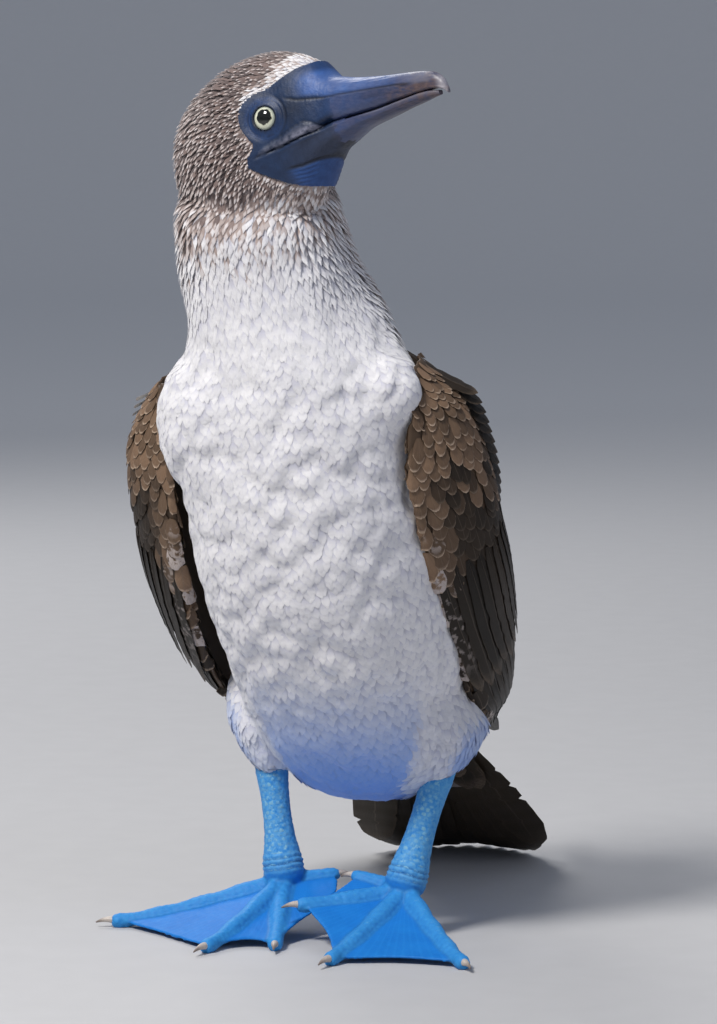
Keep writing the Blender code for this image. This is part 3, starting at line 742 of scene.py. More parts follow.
def plumage_finish():
    """Body feathers, white or brown at the root with paler ends, each by its own values, with painted shade
    at the roots of the white ones and painted blue reflected light on the low belly.
    """
    finish = Finish("plumage", Sheen_Weight=0.3, Sheen_Roughness=0.5)
    g = finish.graph
    length, width, tone = finish.readings("along", "across", "tone")
    brown, tip, blue = finish.readings("brown", "tip", "blue")
    grain = g.noise(finish.where(), 900.0, 2.0)
    ribs = barbs(finish)
    white = g.mix(tone, (0.76, 0.755, 0.785), (0.87, 0.86, 0.875))
    # Painted shade between the overlapping feathers: each white feather is darker and bluer towards its root.
    white = g.mix(g.step(length, 0.05, 0.65), (0.62, 0.62, 0.71), white)
    # Painted blue reflected light on the low belly.
    white = g.mix(blue * 0.94, white, (0.10, 0.31, 0.82))
    dark = g.mix(tone, (0.046, 0.028, 0.029), (0.165, 0.108, 0.094))
    dark = g.mix(g.step(brown, 0.80, 0.25), dark, (0.40, 0.31, 0.28))
    buff = g.mix(tone, (0.40, 0.325, 0.30), (0.72, 0.66, 0.655))
    light = g.mix(g.step(brown, 0.0, 0.45), white, buff)
    reach = brown * (1.0 - tip * 0.62) + 0.25 + (ribs - 0.5) * 0.22 + (tone - 0.5) * 0.16
    shade = g.step(length - abs(width) * 0.36, reach + 0.08, reach - 0.12) * g.step(brown, 0.03, 0.22)
    colour = g.mix(shade, light, dark)
    colour = g.mix((grain - 0.5) * 0.3 + 0.08, colour, (0.5, 0.46, 0.46))
    return finish.done(colour, 0.75, ribs + grain * 0.4, 0.35, 0.0007)


def wing_finish(name, dark, warm, edge, gloss):
    """Wing and tail feathers, dark in the middle and pale along the rim where the values ask for it."""
    finish = Finish(name, Specular_IOR_Level=0.2)
    g = finish.graph
    length, width, tone, tip, brown = finish.readings("along", "across", "tone", "tip", "brown")
    base = g.mix(tone, dark, warm)
    pale = g.mix(tone, edge, tuple(min(1.0, value * 1.5) for value in edge))
    rim = g.step(length + abs(width) ** 3.0 * 0.08, 0.85, 0.99)
    sides = g.step(abs(width), 0.80, 1.0) * g.step(length, 0.5, 0.9)
    grain = g.noise(finish.where(), 520.0, 3.0)
    worn = g.step(grain, 0.35, 0.62)
    colour = g.mix(rim.highest(sides * 0.8) * tip * (worn * 0.5 + 0.5), base, pale)
    mottled = g.step(g.noise(finish.where(), 260.0, 3.0) + length * 0.25 - brown * 0.22, 0.50, 0.64)
    mottled = mottled * g.step(length * brown, 0.55, 0.35)
    colour = g.mix(mottled * (1.0 - brown) * 1.3, colour, (0.50, 0.43, 0.40))
    shaft = g.step(abs(width), 0.055, 0.0) * g.step(length, 1.0, 0.8)
    colour = g.mix(shaft * 0.35, colour, (0.20, 0.155, 0.12))
    ribs = barbs(finish)
    colour = g.mix(g.step(ribs, 0.35, 0.75) * 0.25, colour, dark)
    return finish.done(colour, gloss, ribs + grain * 0.4, 0.3, 0.0005)


def skin_finish():
    """The skin beneath the coat, with the coat's own markings in down and the same painted blue reflected
    light.
    """
    finish = Finish("down", Sheen_Weight=0.3)
    g = finish.graph
    brown, blue = finish.readings("brown", "blue")
    down = g.noise(finish.where(), 700.0, 3.0)
    white = g.mix(down, (0.50, 0.50, 0.58), (0.72, 0.71, 0.76))
    # Painted blue reflected light on the low belly.
    white = g.mix(blue * 0.85, white, (0.13, 0.31, 0.74))
    colour = g.mix(brown, white, g.mix(down, (0.05, 0.034, 0.028), (0.20, 0.15, 0.13)))
    return finish.done(colour, 0.85, down, 0.5, 0.001)


def horn_colour(finish):
    """The bill's colours: blue-grey, brighter at its root and with a painted highlight along its top, brown
    towards the tip.
    """
    g = finish.graph
    bright, violet = finish.readings("bright", "violet")
    where = finish.where()
    turned = g.out("ShaderNodeMapping", {
        "Vector": where, "Scale": (0.12, 1.0, 1.0),
        "Rotation": (0.0, -HEAD_RAISE, HEAD_TURN - math.pi / 2),
    })
    streaks = g.noise(turned, 900.0, 3.0, 0.6)
    patches = g.noise(where, 160.0, 3.0)
    slate = g.mix(streaks, (0.014, 0.024, 0.066), (0.042, 0.062, 0.14))
    blue = g.mix(streaks, (0.024, 0.068, 0.23), (0.072, 0.15, 0.38))
    tip = g.mix(streaks, (0.040, 0.027, 0.034), (0.14, 0.095, 0.095))
    colour = g.mix(bright, slate, blue)
    colour = g.mix(violet * g.step(patches + streaks * 0.5, 0.45, 0.9), colour, tip)
    return colour, streaks, patches


def face_finish():
    """Bare skin of the face and throat, leathery, deep blue and brighter about the bill's root, with painted
    shade in its creases and a painted highlight along its top.
    """
    finish = Finish("bare_skin", Specular_IOR_Level=0.4, Coat_Roughness=0.4)
    g = finish.graph
    bright, violet, pale, crease, horn = finish.readings("bright", "violet", "pale", "crease", "horn")
    where = finish.where()
    patches = g.noise(where, 260.0, 3.0)
    pores = g.noise(where, 1500.0, 2.0)
    navy = g.mix(patches, (0.0025, 0.009, 0.030), (0.008, 0.028, 0.082))
    blue = g.mix(patches, (0.010, 0.045, 0.19), (0.036, 0.12, 0.38))
    colour = g.mix(bright, navy, blue)
    colour = g.mix(violet, colour, g.mix(patches, (0.012, 0.020, 0.044), (0.034, 0.046, 0.088)))
    # The pale lip, paler towards its front with a painted highlight.
    colour = g.mix(pale * g.step(patches, 0.3, 0.6), colour, (0.32, 0.32, 0.41))
    horny, _, _ = horn_colour(finish)
    colour = g.mix(horn, colour, horny)
    # Painted shade in the creases.
    colour = g.mix(crease * 0.88, colour, (0.003, 0.006, 0.016))
    rough = g.step(pores, 0.0, 1.2) * 0.25 + 0.42 - horn * 0.10
    return finish.done(colour, rough, pores * 0.6 + patches, 0.35, 0.0006,
                       coat=0.04 + patches * 0.06 + horn * 0.08)


def bill_finish():
    finish = Finish("bill_horn", Specular_IOR_Level=0.4, Coat_Roughness=0.35)
    g = finish.graph
    colour, streaks, patches = horn_colour(finish)
    pale, crease = finish.readings("pale", "crease")
    colour = g.mix(pale, colour, (0.30, 0.29, 0.33))
    # Painted shade in the grooves.
    colour = g.mix(crease * 0.9, colour, (0.004, 0.006, 0.015))
    return finish.done(colour, streaks * 0.22 + 0.32, streaks + patches, 0.3, 0.0005,
                       coat=streaks * 0.15 + 0.08)


def eye_finish(name, side):
    """A pale yellow iris about a dark pupil with an uneven edge, under a wet clear coat."""
    finish = Finish(name, IOR=1.376, Coat_Roughness=0.02)
    g = finish.graph
    _, cross = gaze_axes(side)
    centre = place(head_point(0.0, EYE_OUT * side, 0.0))
    away = g.vector("SUBTRACT", finish.where(), tuple(centre))
    f, u = (g.out("ShaderNodeVectorMath", {0: away, 1: tuple(way)}, "Value", operation="DOT_PRODUCT") / MM
            for way in (cross, HEAD_UP))
    gap = (f * f + u * u) ** 0.5
    off, high = f - 0.7, u - 0.5
    hole = (off * off + high * high) ** 0.5
    turn = high.math("ARCTAN2", off)
    star = (turn * 5.0 + 0.7).sine() * 0.12 + (turn * 9.0 + 2.0).sine() * 0.10
    fibres = g.noise(finish.where(), 1600.0, 3.0, 0.6)
    iris = g.mix(fibres, (0.56, 0.58, 0.42), (0.90, 0.91, 0.74))
    iris = g.mix(g.step(gap, 4.8, 5.8), iris, (0.36, 0.40, 0.34))
    iris = g.mix(g.step(gap, 5.8, 6.25), iris, (0.004, 0.008, 0.018))
    pupil = g.step(hole + star * 1.2 + (fibres - 0.5) * 0.7, 4.3, 3.8)
    colour = g.mix(pupil, iris, (0.004, 0.005, 0.003))
    return finish.done(colour, 0.12, coat=1.0)


def foot_finish():
    """Vivid blue skin: saturated webs, lighter toes and shins with pale scutes."""
    finish = Finish("foot_skin", Specular_IOR_Level=0.22)
    g = finish.graph
    toe, pale, crease, ray = finish.readings("toe", "pale", "crease", "ray")
    where = finish.where()
    patches = g.noise(where, 90.0, 3.0)
    pores = g.noise(where, 1300.0, 2.0)
    fine = g.noise(where, 420.0, 3.0, 0.6)
    web = g.mix(patches, (0.006, 0.150, 0.54), (0.014, 0.225, 0.68))
    web = g.mix(g.step(ray.sine(), 0.2, 1.0) * 0.15, web, (0.03, 0.30, 0.74))
    skin = g.mix(fine, (0.014, 0.19, 0.58), (0.055, 0.34, 0.72))
    colour = g.mix(toe, web, skin)
    colour = g.mix(pale * g.step(fine, 0.25, 0.62), colour, (0.24, 0.50, 0.66))
    # Painted shade in the creases and folds.
    colour = g.mix(crease * 0.7, colour, (0.004, 0.035, 0.16))
    height = pores * 0.5 + fine + patches * 0.4
    return finish.done(colour, fine * 0.2 + 0.46, height, 0.3, 0.0006)


def claw_finish():
    finish = Finish("claw_horn_finish", Specular_IOR_Level=0.5)
    g = finish.graph
    length = finish.reading("along")
    streaks = g.noise(finish.where(), 1100.0, 2.0)
    base = g.mix(streaks, (0.40, 0.34, 0.30), (0.66, 0.60, 0.54))
    colour = g.mix(g.step(length, 0.45, 1.0), base, (0.17, 0.13, 0.11))
    colour = g.mix(g.step(length, 0.16, 0.0) * 0.6, colour, (0.10, 0.30, 0.50))
    return finish.done(colour, streaks * 0.15 + 0.32, streaks, 0.2, 0.0004)


# Where the plumage lies: its direction, its markings and its place on an unwrap of the body.

# How far around each point the body's middle line sets the way of its feathers.
LIE_SPREAD = 24.0
# Where the neck's brown begins to fade in, in front, and how much lower it does behind.
NECK_FADE = 353
NECK_FADE_LOWER = 26


class Lie:
    """Finds the station, the turn about the body and the lie of the coat at any point of the skin."""

    def __init__(self):
        t, turn = np.linspace(0, BODY_TOP, 141), circle(96)
        self.tree = tree_of(body_surface(t[:, None], turn[None, :]).reshape(-1, 3))
        self.t, self.turn = np.repeat(t, len(turn)), np.tile(turn, len(t))
        row = along(BODY, np.linspace(13.4, 0.0, 90))
        middle = world(np.stack([row[:, 5], (row[:, 0] + row[:, 2]) / 2, (row[:, 1] + row[:, 3]) / 2], -1))
        f = np.linspace(40, -34, 26)
        head = head_point(f, 0 * f, np.interp(f, (-34, 10, 40), (-12, -4, 2)))
        line = np.concatenate([head, middle])
        self.line = (line[1:] + line[:-1]) / 2
        self.way = unit(line[1:] - line[:-1])
        self.weight = np.linalg.norm(line[1:] - line[:-1], axis=1)

    def stations(self, points):
        found = nearest(self.tree, points)
        return self.t[found], self.turn[found]

    def ahead(self, points, normals):
        """The way that the feathers point, along the skin."""
        gaps = np.linalg.norm(points[:, None, :] - self.line[None, :, :], axis=2)
        gaps = gaps - gaps.min(axis=1, keepdims=True)
        way = unit((np.exp(-(gaps / LIE_SPREAD) ** 2) * self.weight) @ self.way)
        for side in (1, -1):
            near, top, hip = thigh_gap(points, side)
            lower = step(near, 34, 22) * step(points[:, 2], 128, 96)
            way = way * (1 - lower[:, None]) + unit(top - hip) * lower[:, None]
        return unit(across_to(way, normals))


def thigh_ends(side):
    leg = LEGS[side]
    top = world(leg["top"])
    axis = unit(top - world(leg["ankle"]))
    return top, top + axis * THIGH_LONG + np.array((-3.0 if side > 0 else 0.0, 14.0, 0))


def thigh_gap(points, side):
    """How far points lie from a thigh's middle line, and the ends of that line."""
    top, hip = thigh_ends(side)
    way = hip - top
    s = np.clip((points - top) @ way / np.dot(way, way), 0, 1)
    return np.linalg.norm(points - top - s[:, None] * way, axis=1), top, hip


def markings(points, lie):
    """How brown and how pale-tipped the plumage is at each point, and how much painted blue reflected light
    lies on it.
    """
    t, turn = lie.stations(points)
    f, _, u = head_places(points)
    uneven = wobble(points, 34, 5) * 0.5 + wobble(points, 12, 6) * 0.4
    behind = np.sin(turn)
    front = step(-behind + 0.35 * np.maximum(np.cos(turn), 0) + uneven * 0.12, -0.35, 0.55)
    fade_low = NECK_FADE - NECK_FADE_LOWER * (1 - front)
    neck = step(points[:, 2] + uneven * 8, fade_low - 14, fade_low + 58)
    neck = neck * (0.52 + 0.43 * step(points[:, 2], 366, 408))
    mantle = step(behind + uneven * 0.10, 0.30, 0.62) * step(t + uneven * 0.3, 2.0, 3.1)
    mantle = mantle * step(t + uneven * 0.2, 12.4, 10.4)
    brown = np.maximum(neck, mantle)
    from_face = -inside(f, u, BARE)
    wide = np.interp(f, (-12, -4, 6, 18, 28), (2.5, 6.5, 10.5, 14.0, 17.0))
    forehead = step(from_face + uneven * 2.5, wide + 5.0, wide - 5.0) * step(u, 1, 8) * step(f, -14, -8)
    rim = step(from_face, 4.0, 1.0) * step(points[:, 2], 380, 392)
    chin = step(u, -34, -42) * step(f, -30, -8) * step(f, 22, 4)
    brown = brown * (1 - 0.84 * forehead) * (1 - 0.5 * rim) * (1 - 0.5 * chin)
    # Painted blue reflected light on the low belly and flanks, less towards the back and beside the thighs.
    blue = step(points[:, 2], 148, 64) * step(behind, 0.8, 0.1)
    for side in (1, -1):
        top, hip = thigh_ends(side)
        rise = points[:, 2] - top[2]
        aside = abs(points[:, 0] - top[0] - rise * (hip - top)[0] / (hip - top)[2] + uneven * 3)
        blue = blue * (1 - 0.85 * step(aside, 16, 8))
    crown = step(u, 8, 26) * step(points[:, 2], 395, 405)
    tip = np.clip(0.95 - 0.30 * crown + 0.2 * uneven, 0, 1)
    return brown, tip, blue


def unwrapped(points, lie):
    """Each point's place on an unwrap of the skin about the body's and the head's long axes."""
    t, turn = lie.stations(points)
    f, r, u = head_places(points)
    on_head = (points[:, 2] > 395) & (np.hypot(r, u + 8) < 60)
    head_turn = np.arctan2(u + 8, r) % (2 * math.pi)
    across = np.where(on_head, head_turn, turn) / (2 * math.pi)
    length = np.where(on_head, 14.6 + (f + 75) / 115 * 4.0, t * 14.4 / BODY_TOP) / 19.0
    return np.stack([BAKE_EDGE + across * 0.992, BAKE_EDGE + np.clip(length, 0, 1) * 0.98], -1)


def quilting(mesh, points, lie):
    """How far the skin stands out under its feathers, which lie as soft overlapping puffs."""
    def spacing(places):
        return np.interp(places[:, 2], QUILT_AT, QUILT_GAPS)

    def allowed(places):
        return places[:, 2] < FACE_FOOT

    roots, facing, gap = scatter(mesh, spacing, allowed, 90)
    ahead = lie.ahead(roots, facing)
    draw = np.random.default_rng(91)
    ahead = turned_about(ahead, facing, np.radians(draw.normal(0, 9, len(roots))))
    across = np.cross(facing, ahead)
    size = gap * draw.uniform(0.85, 1.2, len(roots))
    tree = tree_of(roots)
    near = np.array([[found[1] for found in tree.find_n(Vector(point), 9)] for point in points])
    away = points[:, None, :] - roots[near]
    s = np.sum(away * ahead[near], axis=-1) / (size[near] * 2.0)
    c = np.sum(away * across[near], axis=-1) / (size[near] * 0.82)
    reach = 1 - 0.42 * np.minimum(abs(c), 1) ** 2.2
    within = (s > 0) & (s < reach) & (abs(c) < 1)
    share = np.where(within, s / reach, 0.0)
    top = share.argmax(axis=1)
    each = np.arange(len(points))
    share, c = share[each, top], c[each, top]
    puff = QUILT_PUFF * (1 - np.minimum(c * c, 1)) * np.sin(math.pi * share ** 1.4)
    height = QUILT_LIFT * share ** 1.3 + puff
    _, turn = lie.stations(points)
    fade = step(points[:, 2], 352, 290) * (1 - 0.75 * step(np.sin(turn), 0.0, 0.4))
    height = (height - QUILT_LIFT * 0.6) * fade
    for _ in range(QUILT_EVEN):
        height = evened(mesh, height[:, None], 0.7)[:, 0]
    return height


def evened(mesh, values, share):
    """Values at a mesh's points, each drawn towards the mean of its neighbours."""
    ends = read(mesh.edges, "vertices", 2, np.int32)
    one, two = ends.T
    count = np.bincount(ends.ravel(), minlength=len(values))[:, None]
    total = np.stack([
        np.bincount(one, values[two, k], len(values)) + np.bincount(two, values[one, k], len(values))
        for k in range(values.shape[1])
    ], -1)
    return values + (total / np.maximum(count, 1) - values) * share


def trunk_rings(turn):
    """The trunk inside its coat, its flank pressed in on the left and its neck moved to the right."""
    t = np.linspace(0, BODY_TOP, 90)
    inset = -np.interp(t, COAT_AT, COAT_DEEP)
    trunk = body_surface(t[:, None], turn[None, :], inset[:, None])
    trunk[..., 0] -= np.interp(trunk[..., 2], FLANK_AT, FLANK_IN) * step(trunk[..., 0], 12, 66)
    wide, high = trunk[..., 0], trunk[..., 2]
    trunk[..., 0] = (wide - np.interp(high, NECK_AT, NECK_OUT) * step(-wide, 36, 66)
                     - np.interp(high, NECK_AT, NECK_IN) * step(wide, 4, 34))
    return trunk


def head_rings(turn):
    """The head inside its coat, drawn in to the bill."""
    q = np.linspace(0, 7.0, 60)
    f, r, u = head_surface(q[:, None], turn[None, :])
    middle = along(HEAD, q)[:, 1:3].mean(axis=1)[:, None] + 0 * r
    size = np.hypot(r, u - middle)
    way_r, way_u = r / size, (u - middle) / size
    size = drawn_in(f, way_r, way_u, middle, size) - np.interp(f, (-30, 4), HEAD_COAT)
    return head_point(f, way_r * size, middle + way_u * size)


def shoulder_rings(turn, x, ahead, high, wide, deep, tall):
    lift = np.linspace(-0.995, 0.995, 26)[:, None] * math.pi / 2
    ring = np.zeros((len(lift), len(turn), 3)) + world((x, ahead, high))
    ring[..., 0] += wide * np.cos(lift) * np.cos(turn)
    ring[..., 1] += deep * np.cos(lift) * np.sin(turn)
    ring[..., 2] += tall * np.sin(lift)
    return ring


def thigh_rings(turn, side):
    top, hip = thigh_ends(side)
    rows = along(THIGH_ROWS, np.linspace(0, len(THIGH_ROWS) - 1, 30))
    share, wide, deep = rows[:, :1], rows[:, 1:2], rows[:, 2:]
    slim = np.interp(np.linspace(0, 1, 30), *THIGH_SLIM[side])[:, None]
    ring = np.zeros((len(rows), len(turn), 3)) + (top + (hip - top) * (share * 0.97 + 0.03))[:, None, :]
    ring[..., 0] += (wide * slim - THIGH_COAT) * np.cos(turn)
    ring[..., 1] += (deep - THIGH_COAT) * np.sin(turn)
    return ring


def make_skin(lie, finish):
    """One skin for the body, neck, head and thighs, as deep inside them as the coat is thick."""
    turn = circle(72)
    pile = Pile()
    pile.loft(trunk_rings(turn))
    pile.loft(head_rings(turn))
    for shoulder in SHOULDERS.values():
        pile.loft(shoulder_rings(turn, *shoulder))
    for side in (1, -1):
        pile.loft(thigh_rings(turn, side))
    skin = fused(pile.made("skin"), SKIN_VOXEL, 12)
    mesh = skin.data
    points = read_points(mesh)
    near = np.zeros(len(points))
    for shoulder in SHOULDERS.values():
        gap = np.linalg.norm((points - world(shoulder[:3])) / (1, 1, 1.4), axis=1)
        near = np.maximum(near, step(gap, 62, 40))
    for _ in range(SHOULDER_EVEN):
        points = evened(mesh, points, near[:, None] * 0.8)
    write_points(mesh, points)
    before = read_normals(mesh)
    points = points + before * quilting(mesh, points, lie)[:, None]
    write_points(mesh, points)
    store(mesh, "out", unit(before + read_normals(mesh)), "FLOAT_VECTOR")
    for key, values in zip(("brown", "tip", "blue"), markings(points, lie)):
        store(mesh, key, values)
    mesh.materials.append(finish)
    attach(skin, "root")
    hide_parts("head", "neck", "torso", "thigh_left", "thigh_right")
    return skin


# Feathers and scutes: small closed shapes, laid over a surface by one tree.

# The small feathers and scutes of each kind: how many shapes, their rows and columns, their widths at
# places along them, how round and how ragged the tip is, the first seed and the depth of the teeth.
VANES = {
    "contour": (4, 7, 12, (0, 0.12, 0.4, 0.8, 1), (0.35, 0.70, 0.96, 1.0, 0.86), 0.30, 0.03, 20, 0.03),
    "covert": (4, 7, 10, (0, 0.15, 0.45, 0.8, 1), (0.35, 0.72, 0.98, 1.0, 0.86), 0.30, 0.03, 30, 0.02),
    "lance": (3, 5, 4, (0, 0.2, 0.5, 0.8, 1), (0.40, 0.85, 1.0, 0.74, 0.26), 0.20, 0.05, 40, 0.0),
    "tuft": (4, 5, 6, (0, 0.25, 0.6, 0.85, 1), (0.4, 0.85, 1.0, 0.80, 0.40), 0.26, 0.06, 50, 0.05),
    "plume": (3, 5, 10, (0, 0.3, 0.6, 0.85, 1), (0.5, 0.9, 1.0, 0.8, 0.5), 0.30, 0.08, 60, 0.06),
    "scute": (2, 3, 4, (0, 0.2, 0.5, 0.8, 1), (0.62, 0.95, 1.0, 0.95, 0.62), 0.12, 0.0, 80, 0.0),
}


def vane_shape(name, rows, columns, widths_at, widths, tip_round, ragged, seed, teeth):
    """A closed vane one long and one wide, flat beneath. It is laid out flat here, with the values by which
    the coat's tree domes it above and curls its rim down.
    """
    draw = np.random.default_rng(seed)
    points, length, width, dome, rim, rise, faces = [], [], [], [], [], [], []
    places = 1 - (1 - np.linspace(0, 1, rows + 1)) ** 1.35
    for k, s in enumerate(places):
        half = 0.5 * float(np.interp(s, widths_at, widths))
        for j in range(columns + 1):
            c = 2 * j / columns - 1
            y = s * (1 - tip_round * s * s * abs(c) ** 2.6)
            x = c * half
            if k == rows:
                y -= teeth * draw.uniform(0.2, 1.0) * (j % 2) + ragged * draw.uniform(0, 0.5)
            if 0 < k and j in (0, columns):
                x *= 1 - ragged * draw.uniform(-0.4, 0.9)
            points.append((x, y, 0.0))
            length.append(s)
            width.append(c)
            dome.append((1 - abs(c) ** 2.4) * s ** 1.5 * (1 - s ** 10))
            rise.append(max(y, 0.0) ** 1.15)
            rim.append(max(abs(c) ** 3.5 * min(1, 4 * s), float(step(s, 0.72, 1.02))))
    count = columns + 1
    for k in range(rows):
        for j in range(columns):
            a = k * count + j
            if (j < columns / 2) == (k % 2 == 0):
                faces += [(a, a + 1, a + count + 1), (a, a + count + 1, a + count)]
            else:
                faces += [(a, a + 1, a + count), (a + 1, a + count + 1, a + count)]
        a, b = k * count, k * count + columns
        faces += [(a, b + count, b), (a, a + count, b + count)]
    faces.append(tuple(range(columns, -1, -1)))
    faces.append(tuple(rows * count + j for j in range(columns + 1)))
    mesh = bpy.data.meshes.new(name)
    mesh.from_pydata(points, [], faces)
    for key, values in (("along", length), ("across", width), ("dome", dome), ("rim", rim),
                        ("rise", rise)):
        store(mesh, key, values)
    mesh.shade_smooth()
    return bpy.data.objects.new(name, mesh)


def shape_group(kind):
    """The shapes of one kind, from which each feather of a coat picks its own."""
    count, rows, columns, widths_at, widths, tip_round, ragged, seed, teeth = VANES[kind]
    group = bpy.data.collections.new(kind + "s")
    for k in range(count):
        group.objects.link(vane_shape(f"{kind}_{k}", rows, columns, widths_at, widths, tip_round, ragged,
                                      seed + k, teeth))
    return group


def coat_tree():
    """Sets a shape at each point, bends it over the skin and gives it its patch of the unwrap."""
    tree = bpy.data.node_groups.new("coat", "GeometryNodeTree")
    for name, kind in (("Roots", "Geometry"), ("Skin", "Object"), ("Shapes", "Collection"),
                       ("Finish", "Material")):
        tree.interface.new_socket(name, in_out="INPUT", socket_type="NodeSocket" + kind)
    tree.interface.new_socket("Coat", in_out="OUTPUT", socket_type="NodeSocketGeometry")
    g = Graph(tree)
    given = g.add("NodeGroupInput").outputs

    def kept(name, kind="FLOAT"):
        return g.out("GeometryNodeInputNamedAttribute", {"Name": name}, data_type=kind)

    facing = kept("facing", "FLOAT_VECTOR")
    turned = g.out("FunctionNodeAxesToRotation", {0: facing, 1: kept("ahead", "FLOAT_VECTOR")},
                   primary_axis="Z", secondary_axis="Y")
    shapes = g.out("GeometryNodeCollectionInfo", {"Collection": given["Shapes"], "Separate Children": True,
                                                  "Reset Children": True})
    set_out = g.out("GeometryNodeInstanceOnPoints", {
        "Points": given["Roots"], "Instance": shapes, "Pick Instance": True,
        "Instance Index": kept("kind", "INT"), "Rotation": turned, "Scale": kept("size", "FLOAT_VECTOR"),
    })
    whole = g.out("GeometryNodeRealizeInstances", {"Geometry": set_out})
    skin = g.out("GeometryNodeObjectInfo", {"Object": given["Skin"]}, "Geometry",
                 transform_space="ORIGINAL")
    here = g.out("GeometryNodeInputPosition")
    surface = g.out("GeometryNodeProximity", {0: skin, "Sample Position": here}, target_element="FACES")
    outward = g.out("GeometryNodeSampleNearestSurface", {
        "Mesh": skin, "Value": kept("out", "FLOAT_VECTOR"), "Sample Position": here,
    }, "Value", data_type="FLOAT_VECTOR")
    length, width = kept("along"), kept("across")
    height = kept("root_lift") + kept("tip_lift") * kept("rise")
    height = height + kept("plump") * kept("dome") + kept("roll") * width - kept("droop") * kept("rim")
    laid = g.vector("ADD", surface, g.scaled(outward, height))
    free = g.vector("ADD", here, g.scaled(facing, height))
    hold = 1.0 - kept("loose") * length * length
    moved = g.vector("ADD", free, g.scaled(g.vector("SUBTRACT", laid, free), hold))
    bent = g.out("GeometryNodeSetPosition", {"Geometry": whole, "Position": moved})
    spot = g.out("ShaderNodeCombineXYZ", {0: kept("bake_u") + width * 0.5 * BAKE_PATCH,
                                          1: kept("bake_v") + length * BAKE_PATCH})
    mapped = g.out("GeometryNodeStoreNamedAttribute", {"Geometry": bent, "Name": "OFBake", "Value": spot},
                   data_type="FLOAT2", domain="CORNER")
    dressed = g.out("GeometryNodeSetMaterial", {"Geometry": mapped, "Material": given["Finish"]})
    g.add("NodeGroupOutput", {"Coat": dressed})
    return tree


# A root's values that are lengths in millimetres, and those that its feather keeps for its finish.
LENGTHS = ("root_lift", "tip_lift", "plump", "roll", "droop")
SHADE_VALUES = ("along", "across", "tone", "brown", "tip", "blue", "pale", "toe", "crease")


def lay_coat(name, tree, skin, shapes, finish, roots):
    """A coat from its roots: a shape at each, over the skin, as one plain mesh."""
    values = dict(roots)
    places = values.pop("place")
    count = len(places)
    mesh = bpy.data.meshes.new(name)
    mesh.from_pydata(place(places).tolist(), [], [])
    size = np.stack([values.pop("wide"), values.pop("long"), np.ones(count)], -1) * MM
    store(mesh, "size", size, "FLOAT_VECTOR")
    store(mesh, "kind", values.pop("kind"), "INT")
    for key in ("facing", "ahead"):
        store(mesh, key, values.pop(key), "FLOAT_VECTOR")
    for key, value in values.items():
        store(mesh, key, np.broadcast_to(value, (count,)) * (MM if key in LENGTHS else 1.0))
    coat = shown(name, mesh)
    layer = coat.modifiers.new("coat", "NODES")
    layer.node_group = tree
    sockets = {item.name: item.identifier for item in tree.interface.items_tree if item.in_out == "INPUT"}
    for key, value in (("Skin", skin), ("Shapes", shapes), ("Finish", finish)):
        layer[sockets[key]] = value
    settle(coat)
    mesh = coat.data
    spare = [kept.name for kept in mesh.attributes
             if kept.domain == "POINT" and kept.name not in (*SHADE_VALUES, "position")]
    for key in spare:
        mesh.attributes.remove(mesh.attributes[key])
    shade(mesh)
    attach(coat, "root")
    return coat


# How many places are tried for each that is kept.
SCATTER_TRIES = 6.0


def scatter(mesh, spacing, allowed, seed):
    """Places all over a mesh with the given spacing, each with its way out. Lengths in millimetres."""
    mesh.calc_loop_triangles()
    corners = read(mesh.loop_triangles, "vertices", 3, np.int32)
    points = read_points(mesh)
    normals = read_normals(mesh)
    a, b, c = (points[corners[:, k]] for k in range(3))
    area = np.linalg.norm(np.cross(b - a, c - a), axis=1) / 2
    middle = (a + b + c) / 3
    load = np.where(allowed(middle), area / spacing(middle) ** 2, 0.0)
    draw = np.random.default_rng(seed)
    count = int(load.sum() * SCATTER_TRIES)
    picked = draw.choice(len(corners), count, p=load / load.sum())
    x, y = draw.random(count), draw.random(count)
    fold = x + y > 1
    x[fold], y[fold] = 1 - x[fold], 1 - y[fold]
    spread = np.stack([1 - x - y, x, y], -1)[..., None]
    found = (points[corners[picked]] * spread).sum(axis=1)
    facing = unit((normals[corners[picked]] * spread).sum(axis=1))
    gap = spacing(found)
    tree = tree_of(found)
    free = np.ones(count, bool)
    kept = []
    for k in range(count):
        if free[k]:
            kept.append(k)
            for _, other, _ in tree.find_range(Vector(found[k]), gap[k]):
                free[other] = False
    return found[kept], facing[kept], gap[kept]


def turned_about(vectors, axes, angles):
    """Vectors at right angles to their axes, turned about them."""
    return vectors * np.cos(angles)[:, None] + np.cross(axes, vectors) * np.sin(angles)[:, None]


def body_spacing(points, lie):
    """How far apart the body's feathers root: close on the face, wider down the back."""
    f, _, u = head_places(points)
    z = points[:, 2]
    front = np.interp(z, (90, 130, 285, 330, 360, 390, 420), (2.9, 3.05, 3.0, 2.9, 2.7, 2.5, 2.3))
    back = np.interp(z, (90, 130, 240, 285, 330, 360, 390, 420), (5.0, 6.4, 6.4, 5.4, 3.4, 2.8, 2.5, 2.3))
    _, turn = lie.stations(points)
    behind = step(np.sin(turn), 0.05, 0.5)
    gap = front + (back - front) * behind
    near = -inside(f, u, BARE)
    face = np.interp(near, (0, 3, 12, 40), (1.25, 1.45, 1.85, 2.3))
    share = step(z, 384, 404)
    return gap * (1 - share) + np.minimum(gap, face) * share


# A body feather's length and width for each millimetre between roots, and how far it strays in degrees.
FEATHER_LONG = 2.7
FEATHER_WIDE = 1.75
FEATHER_STRAY = 7.0


